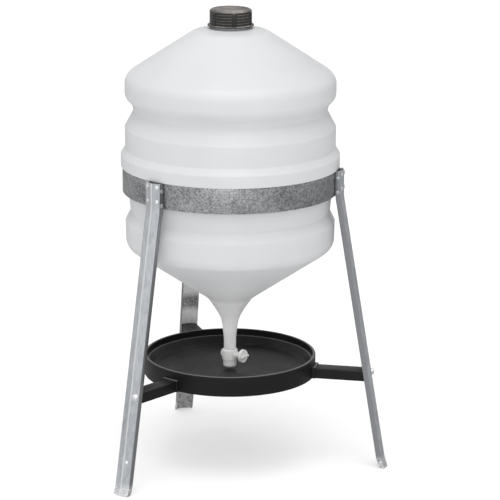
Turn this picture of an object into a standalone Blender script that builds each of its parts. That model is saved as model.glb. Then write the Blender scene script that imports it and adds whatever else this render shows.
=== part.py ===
"""Poultry waterer fount: a drop-in siphon tank in a three-legged galvanised stand over a drinking tray.

Metres, +Z up. The feet stand on z = 0 and the origin is under the middle of the object's bounding box.
Run it with: blender --background --python part.py
"""

import math

import bmesh
import bpy
from mathutils import Matrix, Vector

for leftover in list(bpy.data.objects):
    bpy.data.objects.remove(leftover, do_unlink=True)

GAP = 0.0003  # kept between two pieces that touch

# Hoop that carries the tank
HOOP_R = 0.1755  # outer face
HOOP_TOP_Z = 0.4995
HOOP_HEIGHT = 0.041
HOOP_GAUGE = 0.0012
HOOP_BEND_R = 0.0015  # centre line of the bends at its end tabs
HOOP_TAB_REACH = 0.0015  # how far a tab's end stays from the middle of the web

# Pressed channel legs
LEG_AZIMUTHS = (90, 210, 330)
LEG_WIDTH = 0.030
LEG_DEPTH = 0.0085  # of the side flanges, with the web
LEG_RIDGE = 0.0035  # how far the middle of the web stands out
LEG_GAUGE = 0.0012
LEG_SPLAY = 0.168  # outward run for each metre down, below the hoop
FOOT_FLARE = 0.0025
FOOT_FLARE_HEIGHT = 0.022
FOOT_ROUND = 0.006  # at the flange ends
FOOT_HOLE_R = 0.0026
FOOT_HOLE_OFFSET = -0.0055
FOOT_HOLE_Z = 0.055

# Blind rivets that join the hoop tabs to the legs
RIVET_SHANK_R = 0.0015
RIVET_HEAD_R = 0.0038
RIVET_HEAD_HEIGHT = 0.0016
RIVET_TAIL_R = 0.0020
RIVET_TAIL_LENGTH = 0.0014
RIVET_OFFSET = 0.0095  # web rivets, from the middle of the leg
RIVET_EDGE = 0.0062  # below the hoop's top edge
RIVET_PITCH = 0.0234
RIVET_STAGGER = 0.006  # flange rivets, below the web rivets
HOLE_REACH = 0.004  # of the tool that cuts a hole, either side of the sheet's outer face

# Tank, blow moulded. Heights are above or below its seat on the hoop.
TANK_WALL = 0.003
TANK_CLEARANCE = 0.0033  # to the inside of the hoop
BEAD_OVERHANG = 0.0025  # of the seating bead, past the outside of the hoop
BEAD_HEIGHT = 0.0195
BEAD_SLOPE = 0.011  # height over which the bead runs back into the wall
BAND_HEIGHT = 0.0645
GROOVE_DEPTH = 0.0140
GROOVE_LOW = 0.090
GROOVE_HIGH = 0.102
GROOVE_RUN = 0.0023  # outwards, from the low end of the groove to the high end
SHOULDER_LOW = 0.114
SHOULDER_HIGH = 0.147
CROWN_R = 0.0605
CROWN_HEIGHT = 0.2195
WAIST_DEPTH = 0.0085  # how far the part behind the hoop is drawn in
WAIST_DROP = 0.0754
BULGE_HIGH_DROP = 0.0919
BULGE_LOW_DROP = 0.1324
BULGE_TAPER = 0.001
FUNNEL_MIDDLE_R = 0.0371
FUNNEL_MIDDLE_DROP = 0.2236
FUNNEL_LOW_R = 0.0139
FUNNEL_LOW_DROP = 0.2593
SPOUT_TAPER = 0.0355  # height over which the funnel narrows to the spout
SPOUT_R = 0.0101

# Neck and screw cap
NECK_R = 0.0290
NECK_HEIGHT = 0.023  # above its root
NECK_GROUND = 0.006  # from the crown up to the root of the neck
NECK_THREAD_RISE = 0.005  # from the cap's lower edge up to the start of the neck's thread
THREAD_DEPTH = 0.0016
THREAD_PITCH = 0.006
THREAD_TURNS = 1.25
THREAD_ROOT_WIDTH = 0.0022
THREAD_CREST_WIDTH = 0.0012
THREAD_CLEARANCE = 0.0008  # crest to wall
THREAD_SUNK = 0.0004  # how far a ridge is buried in its wall
THREAD_FADE = 0.4  # share of its depth that a ridge keeps at its ends
CAP_GROUND = 0.003  # from the root of the neck up to the cap
CAP_WALL = 0.0026
CAP_TOP = 0.0035
CAP_DISH = 0.001
CAP_DISH_STEP = 0.002  # width of the slope round the dish
CAP_BEVEL = 0.003
CAP_RIM_WIDTH = 0.0035
CAP_RIM_HEIGHT = 0.0022
CAP_LUGS = 6
CAP_LUG_AZIMUTH = 22
CAP_LUG_WIDTH = 0.006
CAP_LUG_HEIGHT = 0.0014
CAP_LUG_SUNK = 0.0006  # how far a lug is buried in the cap
SEAL_THICKNESS = 0.003

# Drinking tray with three arms, one moulding
TRAY_R = 0.142
TRAY_RIM_Z = 0.1805
TRAY_HEIGHT = 0.0325
TRAY_RIM_WIDTH = 0.005
TRAY_RIM_ROUND = 0.0015
TRAY_WALL = 0.003
LEDGE_DEPTH = 0.011
LEDGE_WIDTH = 0.003
FLOOR_DEPTH = 0.024
FLOOR_FALL = 0.0045
DISH_SLOPE_WIDTH = 0.0075
DISH_UNDER_SHIFT = 0.001  # of the slope's underside, outwards
ARM_SIDE_CLEARANCE = 0.0004  # to the insides of the leg's flanges
ARM_HEIGHT = 0.017
ARM_DROP = 0.0237  # middle of the arm, below the tray's rim
ARM_ROOT = 0.0026  # how far the arm and its collar reach into the tray's skirt
ARM_WALL = 0.003
ARM_CLEARANCE = 0.0005  # to the inside of the leg's web
ARM_LUG = 0.017  # solid end of the arm, which the bolt goes into
COLLAR_BORDER = 0.0022  # all round the arm, where it leaves the tray
COLLAR_LENGTH = 0.005

# Arm bolts
BOLT_OFFSET = -0.0085
BOLT_RISE = 0.0028  # above the middle of the arm
BOLT_R = 0.002
BOLT_HOLE_R = 0.0024
BOLT_HEAD_R = 0.0052
BOLT_HEAD_HEIGHT = 0.0032
WASHER_R = 0.0058
WASHER_THICKNESS = 0.001
NUT_WIDTH = 0.007  # across flats
NUT_THICKNESS = 0.0032
NUT_WALL = 0.004  # of the arm, outside the nut
BOLT_TAIL = 0.002  # past the nut

# Quarter-turn tap on the end of the spout
WATER_DEPTH = 0.0235  # end of the nozzle below the tray's rim
NOZZLE_R = 0.011
NOZZLE_LENGTH = 0.012
NOZZLE_ROUND = 0.002
TAP_R = 0.01275
TAP_LENGTH = 0.018
TAP_CHAMFER = 0.002
TAP_BORE_R = 0.0047
SPIGOT_LENGTH = 0.012
TAP_AZIMUTH = -54
PLUG_R = 0.0065
PLUG_CLEARANCE = 0.0003
PORT_R = 0.0042
PLUG_SHOULDER = 0.001  # how far the plug stands out of the tap, under the stem
STEM_R = 0.004
KNOB_R = 0.011
KNOB_THICKNESS = 0.006
KNOB_REACH = 0.029  # from the tap's middle to the knob's outer face
GRIP_WIDTH = 0.004
GRIP_HEIGHT = 0.0035
GRIP_SUNK = 0.001  # how far the finger bar is buried in the knob
SNAP_LIP = 0.0007
SNAP_LENGTH = 0.001
RING_SECTION = 0.0016  # O-ring, across its round section
RING_PLACE = 0.0095  # from the tap's middle
RING_GROOVE_WIDTH = 0.0022

EDGE_BREAK = 0.001  # small chamfers on moulded edges
CUT_OVERRUN = 0.01  # how far a cutting tool runs out past a face

# Facets
BODY_SEGMENTS = 36
ARC_SEGMENTS = 14
THREAD_STEPS = 20  # in one turn
SMALL_SEGMENTS = 16
RIVET_SEGMENTS = 8
SMOOTH_ANGLE = math.radians(32)

# Worked out from the sizes above
ROOF_ANGLE = math.atan2(LEG_RIDGE, LEG_WIDTH / 2)
WEB_INSET = LEG_GAUGE / math.cos(ROOF_ANGLE)
HOOP_LOW_Z = HOOP_TOP_Z - HOOP_HEIGHT
LEG_TOP_R = HOOP_R + GAP + LEG_DEPTH
TANK_R = HOOP_R - HOOP_GAUGE - TANK_CLEARANCE
BEAD_R = HOOP_R + BEAD_OVERHANG
SEAT_Z = HOOP_TOP_Z + GAP
CROWN_Z = SEAT_Z + CROWN_HEIGHT
NECK_TOP_Z = CROWN_Z + NECK_GROUND + NECK_HEIGHT - GAP
CAP_LOW_Z = CROWN_Z + NECK_GROUND + CAP_GROUND
NECK_THREAD_Z = CAP_LOW_Z + NECK_THREAD_RISE
CAP_THREAD_Z = NECK_THREAD_Z - THREAD_PITCH / 2
CAP_BORE_R = NECK_R + THREAD_DEPTH + THREAD_CLEARANCE
CAP_R = CAP_BORE_R + CAP_WALL
SEAL_Z = NECK_TOP_Z + GAP
CAP_CEILING_Z = SEAL_Z + SEAL_THICKNESS + GAP
ARM_WIDTH = LEG_WIDTH - 2 * LEG_GAUGE - 2 * ARM_SIDE_CLEARANCE
ARM_LOW_Z = TRAY_RIM_Z - ARM_DROP - ARM_HEIGHT / 2
ARM_HIGH_Z = ARM_LOW_Z + ARM_HEIGHT
BOLT_Z = TRAY_RIM_Z - ARM_DROP + BOLT_RISE
NOZZLE_Z = TRAY_RIM_Z - WATER_DEPTH
TAP_LOW_Z = NOZZLE_Z + NOZZLE_LENGTH
TAP_TOP_Z = TAP_LOW_Z + TAP_LENGTH
TAP_Z = TAP_LOW_Z + TAP_LENGTH / 2
SPOUT_END_Z = TAP_TOP_Z + GAP
SPIGOT_R = SPOUT_R - TANK_WALL - GAP
FOOT_R = LEG_TOP_R + LEG_SPLAY * HOOP_LOW_Z + FOOT_FLARE
REACH_BACK = FOOT_R + LEG_RIDGE
AXIS_Y = (BEAD_R - REACH_BACK) / 2  # puts the origin under the middle of the bounding box


def make_material(name, colour, roughness, metallic):
    material = bpy.data.materials.new(name)
    material.use_nodes = True
    shader = material.node_tree.nodes["Principled BSDF"]
    shader.inputs["Base Color"].default_value = (*colour, 1)
    shader.inputs["Roughness"].default_value = roughness
    shader.inputs["Metallic"].default_value = metallic
    return material


def add_empty(name, location=(0, 0, 0), turn=0, parent=None):
    empty = bpy.data.objects.new(name, None)
    bpy.context.scene.collection.objects.link(empty)
    empty.location = location
    empty.rotation_euler.z = turn
    empty.parent = parent
    return empty


def add_object(name, shape, material=None, parent=None, place=None):
    """Puts a bmesh into the scene as an object, placed by the matrix in its parent's space."""
    bmesh.ops.recalc_face_normals(shape, faces=shape.faces)
    mesh = bpy.data.meshes.new(name)
    shape.to_mesh(mesh)
    shape.free()
    if material:
        mesh.materials.append(material)
    piece = bpy.data.objects.new(name, mesh)
    bpy.context.scene.collection.objects.link(piece)
    piece.parent = parent
    piece.matrix_local = place or Matrix()
    return piece


def settle(piece):
    """Applies the modifiers and shades the round faces smooth."""
    bpy.context.view_layer.update()
    solid = piece.evaluated_get(bpy.context.evaluated_depsgraph_get())
    mesh = bpy.data.meshes.new_from_object(solid)
    piece.modifiers.clear()
    piece.data = mesh
    mesh.shade_smooth()
    mesh.set_sharp_from_angle(angle=SMOOTH_ANGLE)
    return piece


def combine(piece, helpers, operation):
    """Joins the helpers to the piece, or cuts them from it, and removes them."""
    for helper in helpers:
        helper.hide_render = True
        helper.display_type = "WIRE"
        boolean = piece.modifiers.new(helper.name, "BOOLEAN")
        boolean.operation = operation
        boolean.solver = "EXACT"
        boolean.object = helper
    settle(piece)
    for helper in helpers:
        bpy.data.objects.remove(helper, do_unlink=True)
    return piece


def rounded(corners, angle_step=math.radians(28)):
    """Turns (x, y, fillet radius) corners into points, each fillet with a point about every angle_step."""
    points = [Vector(corners[0][:2])]
    for before, corner, after in zip(corners, corners[1:], corners[2:]):
        middle = Vector(corner[:2])
        back = (Vector(before[:2]) - middle).normalized()
        ahead = (Vector(after[:2]) - middle).normalized()
        turn = math.pi - back.angle(ahead)
        if corner[2] == 0 or turn < 1e-3:
            points.append(middle)
            continue
        reach = corner[2] * math.tan(turn / 2)
        centre = middle + (back + ahead).normalized() * corner[2] / math.cos(turn / 2)
        start = middle + back * reach - centre
        side = 1 if back.cross(ahead) < 0 else -1
        steps = max(1, round(turn / angle_step))
        for step in range(steps + 1):
            points.append(centre + Matrix.Rotation(side * turn * step / steps, 2) @ start)
    points.append(Vector(corners[-1][:2]))
    return points


def turned(profile, segments, closed=True):
    """Spins (radius, height) points about Z. A solid piece starts and ends on the axis and is not closed."""
    shape = bmesh.new()
    verts = [shape.verts.new((r, 0, z)) for r, z in profile]
    edges = [shape.edges.new(pair) for pair in zip(verts, verts[1:])]
    if closed:
        edges.append(shape.edges.new((verts[-1], verts[0])))
    bmesh.ops.spin(
        shape,
        geom=verts + edges,
        cent=(0, 0, 0),
        axis=(0, 0, 1),
        angle=2 * math.pi,
        steps=segments,
        use_merge=True,
    )
    bmesh.ops.remove_doubles(shape, verts=shape.verts, dist=1e-6)
    return shape


def loft(rings):
    """Skins a list of rings that have the same number of points, and caps both ends."""
    shape = bmesh.new()
    loops = [[shape.verts.new(point) for point in ring] for ring in rings]
    shape.faces.new(loops[0])
    shape.faces.new(reversed(loops[-1]))
    for low, high in zip(loops, loops[1:]):
        for i in range(len(low)):
            j = (i + 1) % len(low)
            shape.faces.new((low[i], low[j], high[j], high[i]))
    return shape


def box(low, high):
    shape = bmesh.new()
    size = Vector(high) - Vector(low)
    middle = (Vector(high) + Vector(low)) / 2
    bmesh.ops.create_cube(shape, size=1, matrix=Matrix.Translation(middle) @ Matrix.Diagonal((*size, 1)))
    return shape


def rod(radius, low, high, segments=SMALL_SEGMENTS):
    return turned([(0, high), (radius, high), (radius, low), (0, low)], segments, closed=False)


def facing(point, normal, up=(0, 0, 1)):
    """A place whose Z axis is the normal and whose X axis is level, or square to up."""
    z_axis = Vector(normal).normalized()
    x_axis = Vector(up).cross(z_axis).normalized()
    y_axis = z_axis.cross(x_axis)
    turn = Matrix((x_axis, y_axis, z_axis)).transposed().to_4x4()
    return Matrix.Translation(point) @ turn


galvanised = make_material("galvanised_steel", (0.46, 0.48, 0.51), 0.38, 1.0)
leg_steel = make_material("galvanised_leg", (0.52, 0.56, 0.60), 0.42, 1.0)
rivet_alloy = make_material("rivet_aluminium", (0.60, 0.61, 0.62), 0.35, 1.0)
zinc_plate = make_material("zinc_plated_steel", (0.58, 0.59, 0.60), 0.30, 1.0)
tank_plastic = make_material("tank_polyethylene", (0.80, 0.80, 0.79), 0.38, 0.0)
black_plastic = make_material("black_polypropylene", (0.018, 0.018, 0.019), 0.35, 0.0)
cap_plastic = make_material("cap_polypropylene", (0.030, 0.029, 0.028), 0.42, 0.0)
tap_plastic = make_material("tap_polyethylene", (0.74, 0.74, 0.73), 0.36, 0.0)
rubber = make_material("seal_rubber", (0.03, 0.03, 0.03), 0.7, 0.0)

stand_axis = add_empty("stand_axis", (0, AXIS_Y, 0))


# Stand ---------------------------------------------------------------------------------------------------

def leg_radius(z):
    """Distance from the axis to the outer corner of a leg's web at height z."""
    run = LEG_TOP_R + LEG_SPLAY * max(0, HOOP_LOW_Z - z)
    flare = max(0, FOOT_FLARE_HEIGHT - z) / FOOT_FLARE_HEIGHT
    return run + FOOT_FLARE * flare ** 2


def web_outer(x, z):
    """Distance from the axis to the web's outer face, x off its middle."""
    return leg_radius(z) + LEG_RIDGE * (1 - abs(x) / (LEG_WIDTH / 2))


def web_normal(x, z):
    """Outward normal of the web's half that holds x, in the leg's own space (across, out, up)."""
    fall = LEG_SPLAY if z < HOOP_LOW_Z else 0
    return Vector((math.copysign(LEG_RIDGE / (LEG_WIDTH / 2), x), 1, fall)).normalized()


def web_place(x, z):
    return facing((x, web_outer(x, z), z), web_normal(x, z))


def leg_section(z, depth):
    """U section of the channel at height z, as points in the leg's own space."""
    half = LEG_WIDTH / 2
    outline = [
        (-half, -depth),
        (-half, 0),
        (0, LEG_RIDGE),
        (half, 0),
        (half, -depth),
        (half - LEG_GAUGE, -depth),
        (half - LEG_GAUGE, -WEB_INSET),
        (0, LEG_RIDGE - WEB_INSET),
        (LEG_GAUGE - half, -WEB_INSET),
        (LEG_GAUGE - half, -depth),
    ]
    return [(x, leg_radius(z) + y, z) for x, y in outline]


def leg_stations():
    """Heights up the leg, each with its flange depth, which is rounded off at the foot."""
    steps = 3
    for step in range(steps + 1):
        angle = math.pi / 2 * step / steps
        yield FOOT_ROUND * (1 - math.cos(angle)), LEG_DEPTH - FOOT_ROUND * (1 - math.sin(angle))
    for z in (FOOT_FLARE_HEIGHT * 0.6, FOOT_FLARE_HEIGHT, HOOP_LOW_Z, HOOP_TOP_Z):
        yield z, LEG_DEPTH


def rivet_places():
    """Name and place of each rivet on one leg, in the leg's own space."""
    flange_x = LEG_WIDTH / 2
    flange_y = (HOOP_R + GAP + LEG_TOP_R - WEB_INSET) / 2
    for row, z in (("upper", HOOP_TOP_Z - RIVET_EDGE), ("lower", HOOP_TOP_Z - RIVET_EDGE - RIVET_PITCH)):
        for side, sign in (("left", 1), ("right", -1)):
            yield f"web_rivet_{row}_{side}", web_place(sign * RIVET_OFFSET, z)
            flange_point = (sign * flange_x, flange_y, z - RIVET_STAGGER)
            yield f"flange_rivet_{row}_{side}", facing(flange_point, (sign, 0, 0))


def rivet_shape():
    """Blind rivet with its head on Z, seated GAP above the sheet."""
    grip = LEG_GAUGE + GAP + HOOP_GAUGE + GAP
    dome = RIVET_HEAD_HEIGHT
    return turned(
        [
            (0, GAP + dome),
            (RIVET_HEAD_R * 0.62, GAP + dome * 0.72),
            (RIVET_HEAD_R, GAP),
            (RIVET_SHANK_R, GAP),
            (RIVET_SHANK_R, -grip),
            (RIVET_TAIL_R, -grip),
            (RIVET_TAIL_R, -grip - RIVET_TAIL_LENGTH),
            (0, -grip - RIVET_TAIL_LENGTH),
        ],
        RIVET_SEGMENTS,
        closed=False,
    )


def hole_cutter(radius, place, parent):
    tool = rod(radius, -HOLE_REACH, HOLE_REACH, RIVET_SEGMENTS)
    return add_object("hole", tool, parent=parent, place=place)


def rivet_cutters(parent, leg_turn=Matrix()):
    return [hole_cutter(RIVET_SHANK_R + GAP, leg_turn @ place, parent) for _, place in rivet_places()]


def build_leg(name, frame):
    leg = add_object(name, loft([leg_section(z, depth) for z, depth in leg_stations()]), leg_steel, frame)
    holes = rivet_cutters(frame)
    holes.append(hole_cutter(BOLT_HOLE_R, web_place(BOLT_OFFSET, BOLT_Z), frame))
    holes.append(hole_cutter(FOOT_HOLE_R, web_place(FOOT_HOLE_OFFSET, FOOT_HOLE_Z), frame))
    combine(leg, holes, "DIFFERENCE")
    for rivet_name, place in rivet_places():
        settle(add_object(f"{name}_{rivet_name}", rivet_shape(), rivet_alloy, frame, place))


def thickened(path, thickness):
    """Closed outline of a strip of sheet whose centre line is the path."""
    sides = ([], [])
    for i, point in enumerate(path):
        before = (point - path[i - 1]).normalized() if i else None
        after = (path[i + 1] - point).normalized() if i < len(path) - 1 else before
        before = before or after
        along = (before + after).normalized()
        across = Vector((-along.y, along.x)) * thickness / 2 / along.dot(after)
        sides[0].append(point + across)
        sides[1].append(point - across)
    return sides[0] + sides[1][::-1]


def hoop_path():
    """Centre line of one hoop arc in plan, symmetric about +Y, with a bent tab in the leg at each end."""
    middle_r = HOOP_R - HOOP_GAUGE / 2
    tab_x = LEG_WIDTH / 2 - LEG_GAUGE - GAP - HOOP_GAUGE / 2
    lap = (GAP + HOOP_GAUGE / 2) / math.cos(ROOF_ANGLE)

    def web_line(x):
        return LEG_TOP_R + LEG_RIDGE * (1 - x / (LEG_WIDTH / 2)) - WEB_INSET - lap

    start = math.asin(tab_x / middle_r)
    half_pitch = math.pi / len(LEG_AZIMUTHS)
    span = half_pitch - start
    tab = [(-HOOP_TAB_REACH, web_line(HOOP_TAB_REACH), 0), (-tab_x, web_line(tab_x), HOOP_BEND_R)]
    tab.append((-tab_x, math.sqrt(middle_r ** 2 - tab_x ** 2), HOOP_BEND_R))
    half_arc = []
    for step in range(1, ARC_SEGMENTS // 2 + 1):
        angle = start + span * step / (ARC_SEGMENTS // 2)
        half_arc.append((-middle_r * math.sin(angle), middle_r * math.cos(angle), 0))
    to_middle = Matrix.Rotation(-half_pitch, 2)
    half = [to_middle @ point for point in rounded(tab + half_arc)]
    return half[:-1] + [Vector((0, middle_r))] + [Vector((-x, y)) for x, y in reversed(half[:-1])]


def build_hoop_arc(name, frame):
    outline = thickened(hoop_path(), HOOP_GAUGE)
    rings = [[(x, y, z) for x, y in outline] for z in (HOOP_LOW_Z, HOOP_TOP_Z)]
    arc = add_object(name, loft(rings), galvanised, frame)
    half_pitch = math.pi / len(LEG_AZIMUTHS)
    holes = rivet_cutters(frame, Matrix.Rotation(-half_pitch, 4, "Z"))
    holes += rivet_cutters(frame, Matrix.Rotation(half_pitch, 4, "Z"))
    combine(arc, holes, "DIFFERENCE")


# Tray and its bolts --------------------------------------------------------------------------------------

def dish_profile():
    rim = TRAY_RIM_Z
    floor_edge_z = rim - FLOOR_DEPTH
    wall_r = TRAY_R - TRAY_RIM_WIDTH
    ledge_r = wall_r - LEDGE_WIDTH
    floor_r = ledge_r - DISH_SLOPE_WIDTH
    skirt_r = TRAY_R - TRAY_WALL
    under = TRAY_WALL
    return [
        (0, floor_edge_z - FLOOR_FALL),
        (floor_r, floor_edge_z),
        (ledge_r, rim - LEDGE_DEPTH),
        (wall_r, rim - LEDGE_DEPTH),
        (wall_r, rim - EDGE_BREAK),
        (wall_r + EDGE_BREAK, rim),
        (TRAY_R - TRAY_RIM_ROUND, rim),
        (TRAY_R, rim - TRAY_RIM_ROUND),
        (TRAY_R, rim - TRAY_HEIGHT),
        (skirt_r, rim - TRAY_HEIGHT),
        (skirt_r, rim - LEDGE_DEPTH - under),
        (ledge_r + DISH_UNDER_SHIFT, rim - LEDGE_DEPTH - under),
        (floor_r + DISH_UNDER_SHIFT, floor_edge_z - under),
        (0, floor_edge_z - FLOOR_FALL - under),
    ]


def arm_end(x, z):
    return web_outer(x, z) - WEB_INSET - ARM_CLEARANCE


def arm_shape():
    """Flat-topped arm along +Y in the leg's own space. Its end follows the inside of the leg's web."""
    start = TRAY_R - ARM_ROOT
    half = ARM_WIDTH / 2
    rings = []
    for z in (ARM_LOW_Z, ARM_HIGH_Z):
        end = [(x, arm_end(x, z), z) for x in (half, 0, -half)]
        rings.append([(-half, start, z), (half, start, z)] + end)
    return loft(rings)


def collar_shape():
    """Thicker band round the arm where it leaves the tray's skirt."""
    half = ARM_WIDTH / 2 + COLLAR_BORDER
    low = (-half, TRAY_R - ARM_ROOT, ARM_LOW_Z)
    return box(low, (half, TRAY_R + COLLAR_LENGTH, ARM_HIGH_Z + COLLAR_BORDER))


def arm_cutters(frame):
    """Hollow under the arm, the nut's slot and the bolt's hole."""
    inner = ARM_WIDTH / 2 - ARM_WALL
    lug_start = arm_end(ARM_WIDTH / 2, ARM_HIGH_Z) - ARM_LUG
    hollow_low = (-inner, TRAY_R + ARM_WALL, ARM_LOW_Z - CUT_OVERRUN)
    hollow = box(hollow_low, (inner, lug_start, ARM_HIGH_Z - ARM_WALL))
    place = web_place(BOLT_OFFSET, BOLT_Z)
    slot_top = -(LEG_GAUGE + ARM_CLEARANCE + NUT_WALL)
    slot_low = slot_top - NUT_THICKNESS - 2 * GAP
    side = NUT_WIDTH / 2 + GAP
    point_up = NUT_WIDTH / math.sqrt(3) + GAP
    slot = box((-side, -ARM_HEIGHT, slot_low), (side, point_up, slot_top))
    depth = slot_low - BOLT_TAIL - 2 * GAP
    hole = rod(BOLT_HOLE_R, depth, CUT_OVERRUN, RIVET_SEGMENTS)
    return [
        add_object("hollow", hollow, parent=frame),
        add_object("slot", slot, parent=frame, place=place),
        add_object("bolt_hole", hole, parent=frame, place=place),
    ]


def build_tray(frames):
    tray = add_object("tray", turned(dish_profile(), BODY_SEGMENTS, closed=False), black_plastic, stand_axis)
    arms = [add_object("arm", arm_shape(), parent=frame) for frame in frames]
    arms += [add_object("collar", collar_shape(), parent=frame) for frame in frames]
    combine(tray, arms, "UNION")
    combine(tray, [cutter for frame in frames for cutter in arm_cutters(frame)], "DIFFERENCE")


def hex_ring(width, bore_r, low, high):
    """Hexagon nut with a round hole through it, flats facing +X and -X."""
    nut = bmesh.new()
    corner_r = width / math.sqrt(3)
    sides = 12
    outer = []
    inner = []
    for side in range(sides):
        angle = 2 * math.pi * side / sides
        reach = corner_r if side % 2 else width / 2
        outer.append(Vector((math.cos(angle), math.sin(angle))) * reach)
        inner.append(Vector((math.cos(angle), math.sin(angle))) * bore_r)
    loops = [
        [nut.verts.new((x, y, z)) for x, y in ring]
        for ring, z in ((outer, low), (outer, high), (inner, high), (inner, low))
    ]
    for first, second in zip(loops, loops[1:] + loops[:1]):
        for i in range(sides):
            j = (i + 1) % sides
            nut.faces.new((first[i], first[j], second[j], second[i]))
    return nut


def build_arm_bolt(name, frame):
    place = web_place(BOLT_OFFSET, BOLT_Z)
    washer_low = GAP
    head_low = washer_low + WASHER_THICKNESS + GAP
    nut_high = -(LEG_GAUGE + ARM_CLEARANCE + NUT_WALL + GAP)
    nut_low = nut_high - NUT_THICKNESS
    tail = nut_low - BOLT_TAIL
    head = [
        (0, head_low + BOLT_HEAD_HEIGHT),
        (BOLT_HEAD_R * 0.45, head_low + BOLT_HEAD_HEIGHT * 0.88),
        (BOLT_HEAD_R * 0.82, head_low + BOLT_HEAD_HEIGHT * 0.5),
        (BOLT_HEAD_R, head_low),
        (BOLT_R, head_low),
        (BOLT_R, tail),
        (0, tail),
    ]
    settle(add_object(f"{name}_bolt", turned(head, SMALL_SEGMENTS, closed=False), zinc_plate, frame, place))
    hole_r = BOLT_R + GAP
    washer_high = washer_low + WASHER_THICKNESS
    washer = [
        (WASHER_R, washer_high),
        (WASHER_R, washer_low),
        (hole_r, washer_low),
        (hole_r, washer_high),
    ]
    settle(add_object(f"{name}_washer", turned(washer, SMALL_SEGMENTS), zinc_plate, frame, place))
    nut = hex_ring(NUT_WIDTH, hole_r, nut_low, nut_high)
    settle(add_object(f"{name}_nut", nut, zinc_plate, frame, place))


# Tank, cap and tap ---------------------------------------------------------------------------------------

def tank_outline():
    """Outer outline of the tank from the mouth down to the end of the spout, as (radius, height, fillet)."""
    seat = SEAT_Z
    groove_r = TANK_R - GROOVE_DEPTH
    waist_r = TANK_R - WAIST_DEPTH
    return [
        (NECK_R, NECK_TOP_Z, 0),
        (NECK_R, CROWN_Z + NECK_GROUND, 0.003),
        (CROWN_R, CROWN_Z, 0.025),
        (TANK_R, seat + SHOULDER_HIGH, 0.024),
        (TANK_R, seat + SHOULDER_LOW, 0.016),
        (groove_r + GROOVE_RUN, seat + GROOVE_HIGH, 0.012),
        (groove_r, seat + GROOVE_LOW, 0.008),
        (TANK_R, seat + BAND_HEIGHT, 0.008),
        (TANK_R, seat + BEAD_HEIGHT + BEAD_SLOPE, 0.006),
        (BEAD_R, seat + BEAD_HEIGHT, 0.004),
        (BEAD_R, seat, 0),
        (TANK_R - BULGE_TAPER, seat, 0),
        (waist_r, seat - WAIST_DROP, 0.005),
        (TANK_R, seat - BULGE_HIGH_DROP, 0.006),
        (TANK_R - BULGE_TAPER, seat - BULGE_LOW_DROP, 0.022),
        (FUNNEL_MIDDLE_R, seat - FUNNEL_MIDDLE_DROP, 0.040),
        (FUNNEL_LOW_R, seat - FUNNEL_LOW_DROP, 0.060),
        (SPOUT_R, seat - FUNNEL_LOW_DROP - SPOUT_TAPER, 0.080),
        (SPOUT_R, SPOUT_END_Z, 0),
    ]


def inset(points, distance):
    """Moves an outline that runs downwards towards the axis by the distance, square to itself."""
    moved = []
    for i, point in enumerate(points):
        before = (point - points[i - 1]).normalized() if i else None
        after = (points[i + 1] - point).normalized() if i < len(points) - 1 else before
        before = before or after
        along = (before + after).normalized()
        moved.append(point + Vector((along.y, -along.x)) * distance / along.dot(after))
    return moved


def thread_ridge(root_r, crest_r, low_z):
    """Helical ridge that climbs THREAD_PITCH in a turn, run out to nothing at both ends."""
    rings = []
    steps = round(THREAD_STEPS * THREAD_TURNS)
    for step in range(steps + 1):
        angle = 2 * math.pi * step / THREAD_STEPS
        z = low_z + THREAD_PITCH * step / THREAD_STEPS
        faded = step in (0, steps)
        crest = root_r + (crest_r - root_r) * (THREAD_FADE if faded else 1)
        root_half = THREAD_ROOT_WIDTH / 2
        crest_half = THREAD_CREST_WIDTH / 2
        section = (
            (root_r, z - root_half),
            (crest, z - crest_half),
            (crest, z + crest_half),
            (root_r, z + root_half),
        )
        rings.append([(r * math.cos(angle), r * math.sin(angle), height) for r, height in section])
    return loft(rings)


def build_tank():
    outer = rounded(tank_outline())
    profile = outer + inset(outer, TANK_WALL)[::-1]
    tank = add_object("tank", turned(profile, BODY_SEGMENTS), tank_plastic, stand_axis)
    ridge = thread_ridge(NECK_R - THREAD_SUNK, NECK_R + THREAD_DEPTH, NECK_THREAD_Z)
    combine(tank, [add_object("neck_thread", ridge, parent=stand_axis)], "UNION")


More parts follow.
